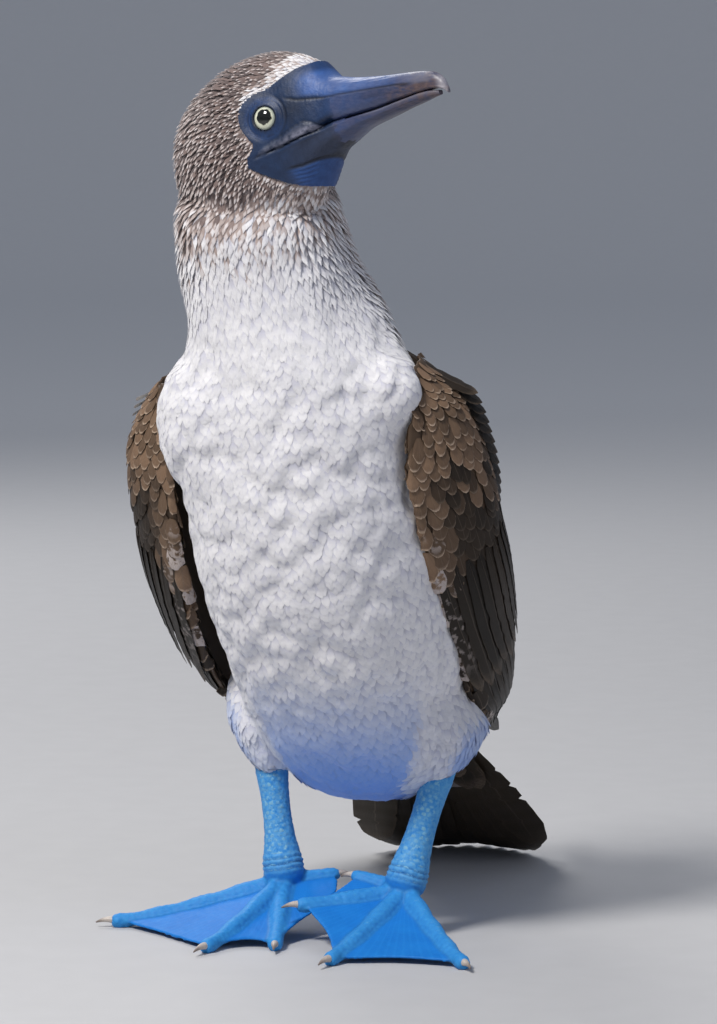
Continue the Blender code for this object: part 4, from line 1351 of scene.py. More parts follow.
def feather_roots(places, facing, gap, lie, seed):
    """The values of each feather at its root, varied as real ones are."""
    draw = np.random.default_rng(seed)
    count = len(places)
    ahead = lie.ahead(places, facing)
    ahead = turned_about(ahead, facing, np.radians(draw.normal(0, FEATHER_STRAY, count)))
    brown, tip, blue = markings(places, lie)
    bake = unwrapped(places, lie)
    return dict(
        place=places, facing=facing, ahead=ahead,
        long=gap * FEATHER_LONG * draw.uniform(0.86, 1.14, count),
        wide=gap * FEATHER_WIDE * draw.uniform(0.9, 1.12, count),
        kind=draw.integers(0, 4, count),
        tone=draw.random(count),
        brown=np.clip(brown + draw.normal(0, 0.04, count) * step(brown, 0, 0.1)
                      + draw.normal(0, 0.7, count) * brown * (1 - brown), 0, 1),
        tip=np.clip(tip + draw.normal(0, 0.15, count), 0, 1), blue=blue,
        bake_u=bake[:, 0], bake_v=bake[:, 1],
        roll=draw.normal(0, 0.15, count),
    )


def make_body_coat(tree, skin, lie, finish):
    """The feathers of head, neck, breast, belly, back and thighs, as separate pieces."""
    def feathered(points):
        f, _, u = head_places(points)
        return ~((inside(f, u, BARE) > -0.6) & (points[:, 2] > FACE_FOOT) & (f > -20))

    places, facing, gap = scatter(skin.data, lambda points: body_spacing(points, lie), feathered, 101)
    keep = feathered(places)
    places, facing, gap = places[keep], facing[keep], gap[keep]
    t, turn = lie.stations(places)
    high = places[:, 2]
    roots = feather_roots(places, facing, gap, lie, 102)
    draw = np.random.default_rng(103)
    smooth = (1 - step(np.sin(turn), -0.2, 0.35)) * step(high, 376, 336)
    lift = np.minimum(np.interp(t, COAT_AT, COAT_DEEP), gap * 0.40) * (1 - 0.78 * smooth)
    tip_lift = lift * draw.uniform(0.82, 1.05, len(places))
    roots.update(root_lift=0.1, tip_lift=tip_lift, droop=tip_lift * 0.14,
                 plump=gap * (0.05 - 0.025 * smooth), roll=roots["roll"] * (1 - 0.7 * smooth))
    thighs = np.zeros(len(places), bool)
    for side in (1, -1):
        near, top, _ = thigh_gap(places, side)
        thighs |= (near < 31) & (high < THIGH_TOP) & (abs(places[:, 0] - top[0]) < 26)
    head = (high > HEAD_FOOT) & ~thighs
    neck = (high > NECK_FOOT + 9 * wobble(places, 30, 104)) & ~head
    back = (np.sin(turn) > 0.18) & ~head & ~neck & ~thighs
    belly = (high < BELLY_TOP) & ~back & ~head & ~neck & ~thighs
    breast = ~(head | neck | back | belly | thighs)

    def piece(name, which, shapes, fixed=None, **factors):
        part = {key: value[which] if np.ndim(value) else value for key, value in roots.items()}
        for key, factor in factors.items():
            part[key] = part[key] * factor
        part.update(fixed or {}, kind=part["kind"] % len(shapes.objects))
        made = lay_coat(name, tree, skin, shapes, finish, part)
        "plumage_brown" if name in ("feathers_head", "feathers_nape") else "plumage_white"

    contours, lances, plumes, tufts = (shape_group(kind) for kind in ("contour", "lance", "plume", "tuft"))
    left = places[:, 0] > 0
    for name, which in (("feathers_breast", breast), ("feathers_belly", belly)):
        for word, half in (("left", left), ("right", ~left)):
            piece(name + "_" + word, which & half, tufts, wide=0.92)
    piece("feathers_back", back, contours, wide=1 - 0.35 * step(high[back], 225, NECK_FOOT))
    narrow = 1 - 0.25 * step(high, NECK_FOOT, 345)
    stand = 1 + 2.4 * step(abs(np.cos(turn)), 0.45, 0.85) * step(high, 312, 345)
    upper = high > NAPE_FOOT
    for name, which in (("feathers_neck", neck & ~upper), ("feathers_nape", neck & upper)):
        piece(name, which, lances, wide=narrow[which], long=1.3, roll=0.5, tip_lift=stand[which])
    crest = 1.3 + 2.0 * step(head_places(places[head])[0], 8, -22)
    piece("feathers_head", head, lances, {"root_lift": 0.05, "droop": 0.08},
          wide=0.74, long=1.2, plump=0.9, roll=0.6, tip_lift=crest)
    piece("feathers_thighs", thighs, plumes, {"loose": 0.45}, wide=0.9, plump=0.4)


# The bare face, the bill and the eyes.

def face_relief(f, u, eye, on_side):
    """How far the bare skin stands out, and its markings with painted shade and a painted highlight, at
    places seen from the side.
    """
    mouth, fold, ridge = (to_line(f, u, line) for line in (MOUTH, JAW_FOLD, RIDGE_LINE))
    lip = inside(f, u, LIP)
    from_gape = step(f, -10, -6)
    line = hump(mouth, 0, 0.40) * from_gape
    fleshy = np.clip(lip / 1.7, 0, 1) ** 0.5
    lip_edge = hump(lip, -0.25, 0.5) * step(f, -2, 8)
    lower_lip = hump(mouth, -1.5, 0.9) * from_gape
    jaw = hump(fold, 0, 0.65) * step(f, 3, 11)
    throat = step(fold, -0.2, -1.3) * step(f, 3, 12)
    brow = hump(ridge, 0, 0.6) * step(f, 10, 17)
    rings = np.sin(eye * 2 * math.pi / 1.7) * hump(eye, 9.6, 1.7)
    orbit = hump(eye, 12.2, 0.7) * step(f, 4, 9)
    out = 0.95 * fleshy - 0.95 * line - 0.35 * lip_edge + 0.40 * lower_lip
    out = out - 0.85 * jaw - 0.55 * brow + 0.16 * rings - 0.30 * orbit
    out = out + 0.25 * throat * np.sin(fold * 2 * math.pi / 1.9)
    out = out * on_side
    # A painted highlight on the top, above the ridge line towards the forehead, over the skin's own blue.
    crown = step(ridge, 0.2, 3.2) * step(f, 15, 29)
    bright = crown * (1 - 0.75 * step(u, 15.5, 20.5)) + throat * 0.62
    bright = bright + 0.12 * step(ridge, 0, -2) * step(f, 22, 34) * step(mouth, 3, 6)
    bright = bright + 0.18 * step(eye, 6.5, 8.5) * step(eye, 13.0, 10.5) + 0.05
    lore = np.exp(-(((f - 15.5) / 7.5) ** 2) - ((u - 0.5) / 6.5) ** 2)
    bright = bright * (1 - 0.9 * lore)
    below = step(mouth, -0.5, -2.5) * (1 - throat) * step(f, -2, 26)
    violet = np.maximum(below * 0.8, np.clip(fleshy * 0.9, 0, 1))
    # The fleshy lip is pale grey, and a painted highlight makes it paler towards its front.
    pale = fleshy * (0.25 + 0.6 * step(f, 4, 22)) * step(mouth, 5.5, 1.0)
    # Painted shade in the mouth line, the jaw fold, the brow groove, the lip's edge and the groove about the
    # eye, with a darker lore; then in the troughs of the eye's wrinkles and on the lids' inner rim.
    crease = line * 1.3 + 0.9 * jaw + 0.85 * brow + 0.6 * lip_edge + 0.5 * orbit + 0.55 * lore
    crease = np.maximum(np.clip(crease, 0, 1), 0.5 * step(rings, -0.1, -0.9))
    crease = np.maximum(crease, 0.9 * step(eye, LID_OPEN + 1.0, LID_OPEN + 0.3))
    horn = step(f + 2.5 * (2 * step(ridge, -2, 2) - 1), 31, 40) * (1 - throat)
    above = step(ridge, -0.6, 0.8)
    upper = step(mouth, -0.3, 0.3)
    bright = np.clip(bright, 0, 1) * (1 - horn)
    # Where the face turns to horn, the top above the ridge line is brighter: a painted highlight, as on the
    # bill.
    bright = bright + horn * (above + (1 - above) * 0.30) * (0.7 + 0.3 * upper)
    violet = np.clip(violet, 0, 1) * (1 - horn) + horn * (0.20 * upper + 0.28 * (1 - upper))
    return out, bright, violet, np.clip(pale, 0, 1) * (1 - horn), crease, horn


FAR_FROM_EYE = 99.0
FACE_THICK = 0.9
FACE_FROM = -12.5
FACE_TO = 43.0
FACE_ROWS = 210
FACE_COLUMNS = 300


def face_grid():
    """The bare face before its folds: the head's own surface, drawn in to the closed bill in front."""
    dense = along(HEAD, np.linspace(0, len(HEAD) - 1, 900))
    f = np.linspace(FACE_FROM, FACE_TO, FACE_ROWS)[:, None]
    top, bottom, half = (np.interp(f, dense[:, 0], dense[:, k]) for k in (1, 2, 3))
    turn = circle(FACE_COLUMNS)[None, :]
    way_r = squared(np.cos(turn), HEAD_SQUARE) * half
    way_u = squared(np.sin(turn), HEAD_SQUARE) * (top - bottom) / 2
    size = np.hypot(way_r, way_u)
    way_r, way_u = way_r / size, way_u / size
    middle = (top + bottom) / 2 + 0 * size
    f = f + 0 * size
    return f, way_r, way_u, middle, drawn_in(f, way_r, way_u, middle, size)


def make_face(finish):
    """The bare skin about eyes, gape and chin, with its lids, folds and lips."""
    f, way_r, way_u, middle, size = face_grid()
    r, u = way_r * size, middle + way_u * size
    points = head_point(f, r, u)
    eye = np.full(f.shape, FAR_FROM_EYE)
    for side in (1, -1):
        look, cross = gaze_axes(side)
        away = points - head_point(0, EYE_OUT * side, 0)
        depth = away @ look
        ring = np.hypot(away @ cross / 1.02, away @ HEAD_UP / 0.97)
        near = (ring < 16) & (r * side > 6)
        eye = np.where(near, np.minimum(eye, ring), eye)
        ball = np.sqrt(np.maximum(EYE_RADIUS ** 2 - np.minimum(ring, 7.0) ** 2, 0))
        margin = math.sqrt(EYE_RADIUS ** 2 - LID_OPEN ** 2) + 0.75
        lid = margin + 0.45 * hump(ring, LID_OPEN + 0.9, 0.8) - 0.22 * (ring - LID_OPEN)
        lid = np.where(ring < LID_OPEN, ball + 0.1 + 0.6 * step(ring, LID_OPEN - 0.5, LID_OPEN), lid)
        around = step(ring, 13.5, 7.6) * near
        points = points + look * ((lid - depth) * around)[..., None]
    on_side = step(abs(way_r), 0.12, 0.45)
    out, bright, violet, pale, crease, horn = face_relief(f, u, eye, on_side)
    wear = wobble(points, 2.6, 31, 24) * 0.025 + wobble(points, 1.2, 32, 24) * 0.025
    out = (out + wear) * step(eye, LID_OPEN, LID_OPEN + 1.5)
    out = out * step(f, FACE_TO, 38)
    way = HEAD_RIGHT * way_r[..., None] + HEAD_UP * way_u[..., None]
    points = points + way * out[..., None]
    keep = (inside(f, u, BARE) > -2.2) & (eye > LID_OPEN - 0.45)
    index = -np.ones(f.shape, int)
    index[keep] = np.arange(keep.sum())
    ring_on = np.roll(index, -1, axis=1)
    corners = np.stack([index[:-1], ring_on[:-1], ring_on[1:], index[1:]], -1).reshape(-1, 4)
    faces = corners[(corners >= 0).all(axis=1)]
    kept = points[keep]
    one, two, three = (kept[faces[0, k]] for k in (0, 1, 3))
    outward = np.cross(two - one, three - one) @ (one - head_point(f[0, 0], 0, 0))
    if outward < 0:
        faces = faces[:, ::-1]
    pile = Pile()
    pile.add(kept, faces.tolist(), bright=bright[keep], violet=violet[keep], pale=pale[keep],
             crease=crease[keep], horn=horn[keep])
    face = pile.made("bare_face", outwards=False)
    thick = face.modifiers.new("thick", "SOLIDIFY")
    thick.thickness = FACE_THICK * MM
    thick.offset = -1.0
    settle(face)
    shade(face.data)
    face.data.materials.append(finish)
    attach(face, "root")


def bill_part(name, rows, is_upper, finish):
    """One half of the bill with its ridge, its groove and its cutting edge."""
    turn = circle(104)[None, :]
    row = bill_rows(rows, BILL_ROOT)[:, None, :]
    c, s = np.cos(turn), np.sin(turn)
    meets = s < 0 if is_upper else s > 0
    square = np.where(meets, BILL_MEET_SQUARE, BILL_SQUARE)
    high = (row[..., 1] - row[..., 2]) / 2
    middle = (row[..., 1] + row[..., 2]) / 2
    f = row[..., 0] + 0 * c
    r = squared(c, square) * row[..., 3]
    u = middle + squared(s, square) * high
    size = np.maximum(np.hypot(r, u - middle), 1e-6)
    ridge = to_line(f, u, RIDGE_LINE)
    on_side = step(abs(c), 0.2, 0.55) + 0 * r
    patchy = wobble(np.stack([f * 0.5, r, u], -1), 9, 3)
    if is_upper:
        groove = hump(ridge, 0, 0.5) * on_side * step(f, 103, 92)
        plates = hump(ridge, -4.0, 0.35) * on_side * step(f, 52, 60) * step(f, 96, 84)
        edge = hump(u - row[..., 2], 1.0, 0.7) * on_side
        out = -0.6 * groove - 0.15 * plates + 0.25 * edge
        # Painted shade in the side groove and along the plates' seam.
        crease = 0.85 * groove + 0.3 * plates
        above = step(ridge, -0.6, 0.8)
        # Brighter towards the root, the bill's own paler blue, and brighter still above the groove: a painted
        # highlight along the top.
        bright = above * step(f, 112, 45) + (1 - above) * 0.30 * step(f, 74, 44)
        tip_share = step(f + 4 * patchy, 66, 92)
        violet = tip_share * (1 - 0.75 * above * step(f, 104, 96)) + 0.20
        pale = hump(f, 107.5, 2.6) * 0.8 + 0.30 * above * step(f, 78, 96) * step(f, 104, 99)
    else:
        edge = hump(u - row[..., 1], -1.1, 0.7) * on_side
        slot = hump(u - middle, -0.8, 0.4) * on_side * step(f, 60, 70) * step(f, 98, 88)
        out = 0.2 * edge - 0.22 * slot
        # Painted shade in the slot along the side.
        crease = 0.4 * slot
        bright = step(f, 74, 40) * 0.22 + 0 * r
        violet = 0.28 + 0.62 * step(f + 4 * patchy, 66, 94)
        pale = 0.25 * edge * step(f, 48, 64)
    out = out + 0.06 * wobble(np.stack([f * 0.2, r, u], -1), 1.6, 9)
    out = out * np.clip(size / 3.0, 0, 1)
    points = head_point(f, r + r / size * out, u + (u - middle) / size * out)
    values = {"bright": bright, "violet": violet, "pale": pale, "crease": crease}
    half = lofted(name + "_horn", points,
                  **{key: np.clip(value + 0 * r, 0, 1).ravel() for key, value in values.items()})
    shade(half.data)
    half.data.materials.append(finish)
    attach(half, "root")
    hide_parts(name)


def make_eye(name, side):
    turn = circle(64)
    lift = np.linspace(-0.999, 0.999, 48)[:, None] * math.pi / 2
    out = EYE_OUT * side + EYE_RADIUS * side * np.sin(lift) + 0 * turn
    wide = EYE_RADIUS * np.cos(lift)
    eye = lofted(name + "_ball", head_point(wide * np.cos(turn), out, wide * np.sin(turn)))
    eye.data.shade_smooth()
    eye.data.materials.append(eye_finish(name + "_finish", side))
    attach(eye, "root")
    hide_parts(name)


# The wings.

def wing_row(side, t):
    """The lower edge, the outer middle and the upper edge at places along a wing, with its thickness."""
    t = np.asarray(t, float)
    row = along(WING, t)
    ease = np.maximum(0.0, 1 - t / 6.0)
    middle = WING_MIDDLE[0] + (WING_MIDDLE[1] - WING_MIDDLE[0]) * np.minimum(1.0, t / 3.0)
    wide = np.interp(t, WING_OUT_AT, WING_OUT[side])
    rise = WING_RISE[side] * np.maximum(0.0, 1 - t / 1.5)
    lap = np.interp(t, *WING_LAP) if side > 0 else 0.0
    press = np.interp(t, *WING_PRESS) if side > 0 else 0.0
    made = []
    for k, share in ((0, 0.6), (3, 1.0), (6, 0.4)):
        out = middle + side * (row[..., k] + wide * share) - (lap if k == 0 else press * share)
        made.append(world(np.stack([out, row[..., k + 1] + WING_FORWARD[side] * ease,
                                    row[..., k + 2] + rise], -1)))
    return made[0], made[1], made[2], row[..., 9]


def wing_face(side, t, v):
    t, v = np.broadcast_arrays(np.asarray(t, float), np.asarray(v, float))
    low, mid, high, _ = wing_row(side, t)
    v = v[..., None]
    bend = 2 * mid - (low + high) / 2
    return low * (1 - v) ** 2 + bend * 2 * v * (1 - v) + high * v * v


def wing_frame(side, t, v):
    """Points of the outer face, with the ways to the tip, across upwards and out at each."""
    t, v = np.broadcast_arrays(np.asarray(t, float), np.asarray(v, float))
    here = wing_face(side, t, v)
    ahead = unit(wing_face(side, np.minimum(t + 0.08, 7), v) - wing_face(side, np.minimum(t, 6.92), v))
    across = wing_face(side, t, np.minimum(1.0, v + 0.04)) - wing_face(side, t, np.maximum(0.0, v - 0.04))
    out = unit(np.cross(ahead, across))
    flip = np.sign(out @ np.array((side, 0, 0.2)))
    return here, ahead, unit(across_to(across, ahead)), out * flip[..., None]


def make_wing_core(side, finish):
    """The wing beneath its feathers, a little inside the solid one."""
    t = np.linspace(0, WING_CORE_END, 70)
    v = np.linspace(0.02, 0.98, 22)
    here, _, _, out = wing_frame(side, t[:, None], v[None, :])
    thick = wing_row(side, t)[3]
    full = np.sqrt(np.minimum(1.0, 0.12 + 2.2 * t))
    bulge = np.sin(math.pi * v) ** 0.6
    deep = (thick * full)[:, None] * (0.12 + 0.88 * bulge)[None, :]
    inset = np.minimum(WING_SKIN_DEPTH, deep * 0.45)
    outer = here - out * inset[..., None]
    inner = (here - out * deep[..., None])[:, ::-1]
    core = fused(lofted("wing_skin_" + WORDS[side], np.concatenate([outer, inner], axis=1)), WING_VOXEL, 5)
    mesh = core.data
    store(mesh, "out", read_normals(mesh), "FLOAT_VECTOR")
    for key, value in (("brown", 1.0), ("tone", 0.3), ("along", 0.4), ("across", 0.3), ("tip", 0.0)):
        store(mesh, key, np.full(len(mesh.vertices), value))
    mesh.materials.append(finish)
    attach(core, "root")
    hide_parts("wing_" + WORDS[side])
    return core


# The columns of a long feather from one rim to the other, and its half widths at places along it.
QUILL_COLUMNS = np.array((-1, -0.78, -0.45, -0.14, 0.0, 0.12, 0.40, 0.72, 1.0))
QUILL_OUTLINE = ((0, 0.10, 0.45, 0.78, 0.92, 1.0), (0.20, 0.60, 0.95, 1.0, 0.72, 0.10))
POINTED_OUTLINE = ((0, 0.08, 0.5, 0.8, 0.93, 1.0), (0.25, 0.62, 0.95, 0.92, 0.62, 0.08))
# How high the vane lies over its path, how high and wide its shaft is, and its ripples.
VANE_LIFT = 0.22
SHAFT_HIGH = 0.55
SHAFT_WIDE = 0.10
RIPPLE_HIGH = 0.10
RIPPLES = 60


def add_quill(pile, path, width, lean, seed, slot, slots, brown=1.0, tip=0.3, outline=QUILL_OUTLINE,
              camber=0.09, rows=34):
    """One long feather over a path of points, ways across and ways out, with its shaft and its splits."""
    draw = np.random.default_rng(seed)
    centre, across, out = path
    s = np.linspace(0, 1, len(centre))
    fine = np.linspace(0, 1, rows + 1)
    centre, across, out = (
        np.stack([np.interp(fine, s, part[:, k]) for k in range(3)], -1) for part in (centre, across, out)
    )
    across, out = unit(across), unit(out)
    half = np.interp(fine, *outline) * width / 2
    c, count = QUILL_COLUMNS, len(QUILL_COLUMNS)
    reach = np.where(c < 0, c * (1 - lean) * 2, c * lean * 2)[None, :] * half[:, None]
    notch = np.zeros((rows + 1, 2))
    for side in (0, 1):
        for spot in draw.integers(int(rows * 0.35), rows - 2, 3):
            notch[spot, side] = draw.uniform(0.05, 0.28)
    reach[:, 0] *= 1 - notch[:, 0]
    reach[:, -1] *= 1 - notch[:, 1]
    high = camber * half[:, None] * (1 - c ** 2)[None, :] + VANE_LIFT
    high = high + SHAFT_HIGH * np.exp(-(c / SHAFT_WIDE) ** 2)[None, :] * (1 - fine * 0.75)[:, None]
    high = high + RIPPLE_HIGH * np.sin(fine[:, None] * RIPPLES + 4 * abs(c))
    top = centre[:, None, :] + across[:, None, :] * reach[..., None] + out[:, None, :] * high[..., None]
    faces = []
    for k in range(0, rows * count, count):
        faces += [(a, a + 1, a + count + 1, a + count) for a in range(k, k + count - 1)]
        faces.append((k, k + count, k + 2 * count - 1, k + count - 1))
    faces.append(tuple(range(count - 1, -1, -1)))
    faces.append(tuple(range(rows * count, rows * count + count)))
    length = np.repeat(fine, count)
    width_at = np.tile(c, rows + 1)
    pile.add(top, faces, along=length, across=width_at, tone=draw.random(), brown=brown, tip=tip,
             bake_u=(slot + 0.5 + 0.44 * width_at) / slots, bake_v=0.01 + 0.98 * length)


def made_quills(pile, name, finish):
    """The gathered long feathers as one piece, each with its own strip of the unwrap."""
    quills = pile.made(name)
    mesh = quills.data
    uv = mesh.uv_layers.new(name="OFBake")
    corners = read(mesh.loops, "vertex_index", kind=np.int32)[:, 0]
    spots = [read(mesh.attributes[key].data, "value")[corners] for key in ("bake_u", "bake_v")]
    uv.data.foreach_set("uv", np.hstack(spots).ravel())
    for key in ("bake_u", "bake_v"):
        mesh.attributes.remove(mesh.attributes[key])
    shade(mesh)
    mesh.materials.append(finish)
    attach(quills, "root")


# The tiers of a wing: how many feathers, the roots of the first and last, their tips (places along and
# across the wing), the width, how the shaft divides it, the lift of the tip, what each adds to that,
# how pale its rim is, how brown the first feather is, how much narrower the last one is, and its rows.
WING_TIERS = (
    (10, (3.4, 0.05), (3.0, 0.44), (6.95, 0.30), (5.45, 0.78), 15.0, 0.62, 0.4, 0.42, 0.10, 0.86, 0.0, 34),
    (12, (2.9, 0.46), (2.1, 0.80), (5.6, 0.62), (4.5, 0.93), 17.0, 0.62, 1.6, 0.20, 0.18, 1.0, 0.0, 34),
    (5, (2.0, 0.82), (1.6, 0.96), (4.5, 0.93), (3.7, 1.0), 17.0, 0.5, 3.6, 0.28, 0.30, 1.0, 0.0, 34),
    (16, (2.25, 0.05), (1.5, 0.92), (3.7, 0.07), (2.9, 0.95), 12.5, 0.5, 2.4, 0.0, 0.40, 0.62, 0.15, 20),
)
LOWER_ROLL = math.radians(-6)
QUILL_SUNK = 1.6
SCAPULARS = 12
SCAPULAR_WIDE = 14.0
SCAPULAR_ROLL = {1: math.radians(14), -1: math.radians(12)}
# How far the first scapulars of the left wing reach in towards the neck, and how many do.
SCAPULAR_IN = np.array((-12.0, 1.0, 5.5))
SCAPULARS_IN = 4


def rolled(across, out, angle):
    """The ways across and out of a feather that is rolled about its shaft."""
    return (across * math.cos(angle) + out * math.sin(angle),
            out * math.cos(angle) - across * math.sin(angle))


def make_wing_quills(side, finish):
    """Primaries, secondaries, tertials and greater coverts, each tier over the one before."""
    pile = Pile()
    slots = sum(tier[0] for tier in WING_TIERS) + SCAPULARS
    draw = np.random.default_rng(300 + side)
    slot = 0
    for (count, root_a, root_b, tip_a, tip_b, width, lean, lift, more, rim, worn, narrower,
         rows) in WING_TIERS:
        for i in range(count):
            f = i / (count - 1)
            root = [root_a[j] + (root_b[j] - root_a[j]) * f for j in (0, 1)]
            tip = [tip_a[j] + (tip_b[j] - tip_a[j]) * f for j in (0, 1)]
            tip[0] = min(6.98, tip[0] + draw.uniform(-0.05, 0.05))
            s = np.linspace(0, 1, 24)
            t = root[0] + (tip[0] - root[0]) * s
            v = np.clip(root[1] + (tip[1] - root[1]) * s, 0, 1)
            here, _, across, out = wing_frame(side, t, v)
            rise = -QUILL_SUNK + (lift + more * i + QUILL_SUNK) * s ** 0.8
            path = (here + out * rise[:, None], *rolled(across, out, LOWER_ROLL))
            add_quill(pile, path, width * (1 - narrower * f), lean, 310 + slot * 2 + side, slot, slots,
                      brown=1.0 if i else worn, tip=rim + draw.uniform(-0.1, 0.1), rows=rows)
            slot += 1
    roll = SCAPULAR_ROLL[side]
    for i in range(SCAPULARS):
        f = i / (SCAPULARS - 1)
        s = np.linspace(0, 1, 20)
        t = 0.08 + 1.34 * f + 0.48 * s
        v = 0.56 + 0.05 * f + 0.02 * s + 0.11 * ((1 - f) * (1 - s)) ** 2
        here, _, across, out = wing_frame(side, t, v)
        lift = SCAPULAR_WIDE * 0.5 * math.sin(roll) - 3.4 + (7.6 - 4.6 * f) * s ** 3
        inward = SCAPULAR_IN * max(0.0, 1 - i / SCAPULARS_IN) * (side > 0)
        here = here + inward * ((1 - s) ** 1.6)[:, None]
        add_quill(pile, (here + out * lift[:, None], *rolled(across, out, roll)), SCAPULAR_WIDE, 0.5,
                  380 + i * 2 + side, slot, slots, tip=0.35, rows=16, outline=POINTED_OUTLINE)
        slot += 1
    made_quills(pile, "wing_quills_" + WORDS[side], finish)


def make_wing_coverts(side, core, tree, shapes, finish):
    """Small feathers over the bend of the wing, growing larger towards the quills."""
    sample_t = np.linspace(0, WING_CORE_END, 120)
    sample_v = np.linspace(0, 1, 40)
    frame_at = wing_frame(side, sample_t[:, None], sample_v[None, :])
    here, ahead, _, out = (part.reshape(-1, 3) for part in frame_at)
    finder = tree_of(here)

    def spots(points):
        found = nearest(finder, points)
        return sample_t[found // len(sample_v)], sample_v[found % len(sample_v)], found

    def spacing(points):
        t, _, _ = spots(points)
        return np.interp(t, (0, 0.8, 1.6, 2.4, 3.4), (3.6, 4.6, 5.8, 7.0, 7.6))

    def allowed(points):
        t, v, found = spots(points)
        edge = v < 0.10
        depth = np.where((v < 0.2) | (t < 1.3), -40.0, -6.0)
        near = np.sum((points - here[found]) * out[found], axis=1) > depth
        return ((t < 2.15 + 0.25 * np.sin(v * 3)) | (edge & (t < 4.6))) & near

    places, facing, gap = scatter(core.data, spacing, allowed, 400 + side)
    t, v, found = spots(places)
    draw = np.random.default_rng(410 + side)
    count = len(places)
    way = unit(across_to(ahead[found], facing))
    way = turned_about(way, facing, np.radians(draw.normal(0, 4, count)))
    inner = np.sum(facing * out[found], axis=1)
    lower = step(v, 0.16, 0.04)
    white = step(v, 0.12, 0.04) * step(t, 1.5, 2.1) * (draw.random(count) < 0.5)
    dusky = step(t + 0.2 * draw.normal(size=count), 0.95, 1.45)
    dusky = np.maximum(dusky, step(v, 0.62, 0.85) * 0.7) * (1 - lower)
    bake_u = BAKE_EDGE + 0.99 * v * 0.5 + np.where(inner < 0, 0.5, 0.0)
    roots = dict(
        place=places, facing=facing, ahead=way, long=gap * 2.7 * draw.uniform(0.9, 1.12, count),
        wide=gap * 1.55 * draw.uniform(0.94, 1.08, count), kind=draw.integers(0, 4, count),
        root_lift=0.2 + 1.6 * step(v, 0.14, 0.04) * step(t, 1.4, 2.2), tip_lift=draw.uniform(1.7, 1.9, count),
        plump=gap * 0.05, droop=0.16,
        roll=draw.normal(0, 0.12, count),
        tone=(0.35 + 0.65 * draw.random(count)) * (1 - 0.92 * np.maximum(dusky, step(t, 2.7, 3.3))),
        tip=np.clip(draw.normal(0.8, 0.15, count), 0, 1) * (1 - 0.85 * dusky),
        brown=1 - 0.8 * white, bake_u=np.clip(bake_u, 0, 0.996), bake_v=BAKE_EDGE + t / WING_CORE_END * 0.98,
    )
    made = lay_coat("wing_coverts_" + WORDS[side], tree, core, shapes, finish, roots)


# The tail.

def tail_line(shares):
    """The distance back and the height of the tail's middle line, with its slope, at shares of it."""
    steps = 240
    at = (np.arange(steps) + 0.5) / steps
    ease = np.clip((at - TAIL_BEND_FROM) / (1 - TAIL_BEND_FROM), 0, 1)
    slope = TAIL_DROP + (TAIL_LEVEL - TAIL_DROP) * ease
    back = np.concatenate([[0], np.cumsum(np.cos(slope))]) * TAIL_LONG / steps
    high = -np.concatenate([[0], np.cumsum(np.sin(slope))]) * TAIL_LONG / steps
    edges = np.linspace(0, 1, steps + 1)
    slope = np.concatenate([slope[:1], slope])
    return tuple(np.interp(shares, edges, part) for part in (back, high, slope))


def tail_path(root, turn, start, end, height, roll, count=24):
    back, high, slope = tail_line(np.linspace(start, end, count))
    zero = np.zeros(count)
    out = np.stack([zero, np.sin(slope), np.cos(slope)], -1)
    level = np.stack([zero, np.cos(slope), -np.sin(slope)], -1)
    side = np.array((1.0, 0, 0))
    across = side * math.cos(turn) - level * math.sin(turn)
    ahead = side * math.sin(turn) + level * math.cos(turn)
    rolled = across * math.cos(roll) + out * math.sin(roll)
    raised = np.cross(rolled, ahead)
    raised = raised * np.sign(np.sum(raised * out, axis=1))[:, None]
    point = np.stack([root + back * (math.tan(turn) + TAIL_TURN), -back, high], -1) + TAIL_AT
    return world(point) + out * height, rolled, raised


def make_tail(finish, down):
    """The tail's feathers in pairs, its coverts above and below, and the flesh that they grow from."""
    pile = Pile()
    slots = 2 * TAIL_PAIRS + TAIL_COVERTS
    draw = np.random.default_rng(500)
    slot = 0
    for i, share in enumerate(TAIL_SHARES):
        for side in (1, -1):
            f = (i + 0.5) / TAIL_PAIRS
            height = 3.0 - TAIL_STEP * (i + (0.5 if side < 0 else 0.0))
            path = tail_path(side * TAIL_ROOTS * f, side * TAIL_FAN * f, 0.10, share, height,
                             side * math.radians(-1.5))
            add_quill(pile, path, TAIL_WIDE, 0.5 + 0.13 * side * f, 510 + slot, slot, slots, tip=0.15,
                      outline=POINTED_OUTLINE, camber=0.05, rows=46)
            slot += 1
    for k in range(TAIL_COVERTS):
        upper = k % 2 == 0
        f = draw.uniform(-1, 1)
        far = abs(f)
        reach = draw.uniform(0.15, 0.50) - 0.05 * far
        height = (8.2 - 2.5 * far + 3 * (0.4 - reach)) if upper else (far * 1.5 - 7.8 - 3 * (0.4 - reach))
        path = tail_path(f * 17, f * TAIL_FAN * 0.8, 0.0, reach, height, 0.0, 16)
        add_quill(pile, path, 19.0, 0.5, 540 + k, slot, slots, brown=0.95 if upper else 0.85,
                  tip=0.5, rows=18)
        slot += 1
    made_quills(pile, "tail_quills", finish)
    rings = []
    turn = circle(40)
    for share, half, deep in TAIL_STUMP:
        back, high, slope = (float(part) for part in tail_line(share))
        centre = world(TAIL_AT + np.array((back * TAIL_TURN, -back, high)))
        up = np.array((0, math.sin(slope), math.cos(slope))) * deep
        rings.append(centre + np.cos(turn)[:, None] * np.array((half, 0, 0)) + np.sin(turn)[:, None] * up)
    flesh = fused(lofted("tail_skin", np.array(rings)), TAIL_VOXEL, 4)
    store(flesh.data, "brown", np.full(len(flesh.data.vertices), 0.9))
    flesh.data.materials.append(down)
    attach(flesh, "root")
    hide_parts("tail")


# Legs, feet and claws.

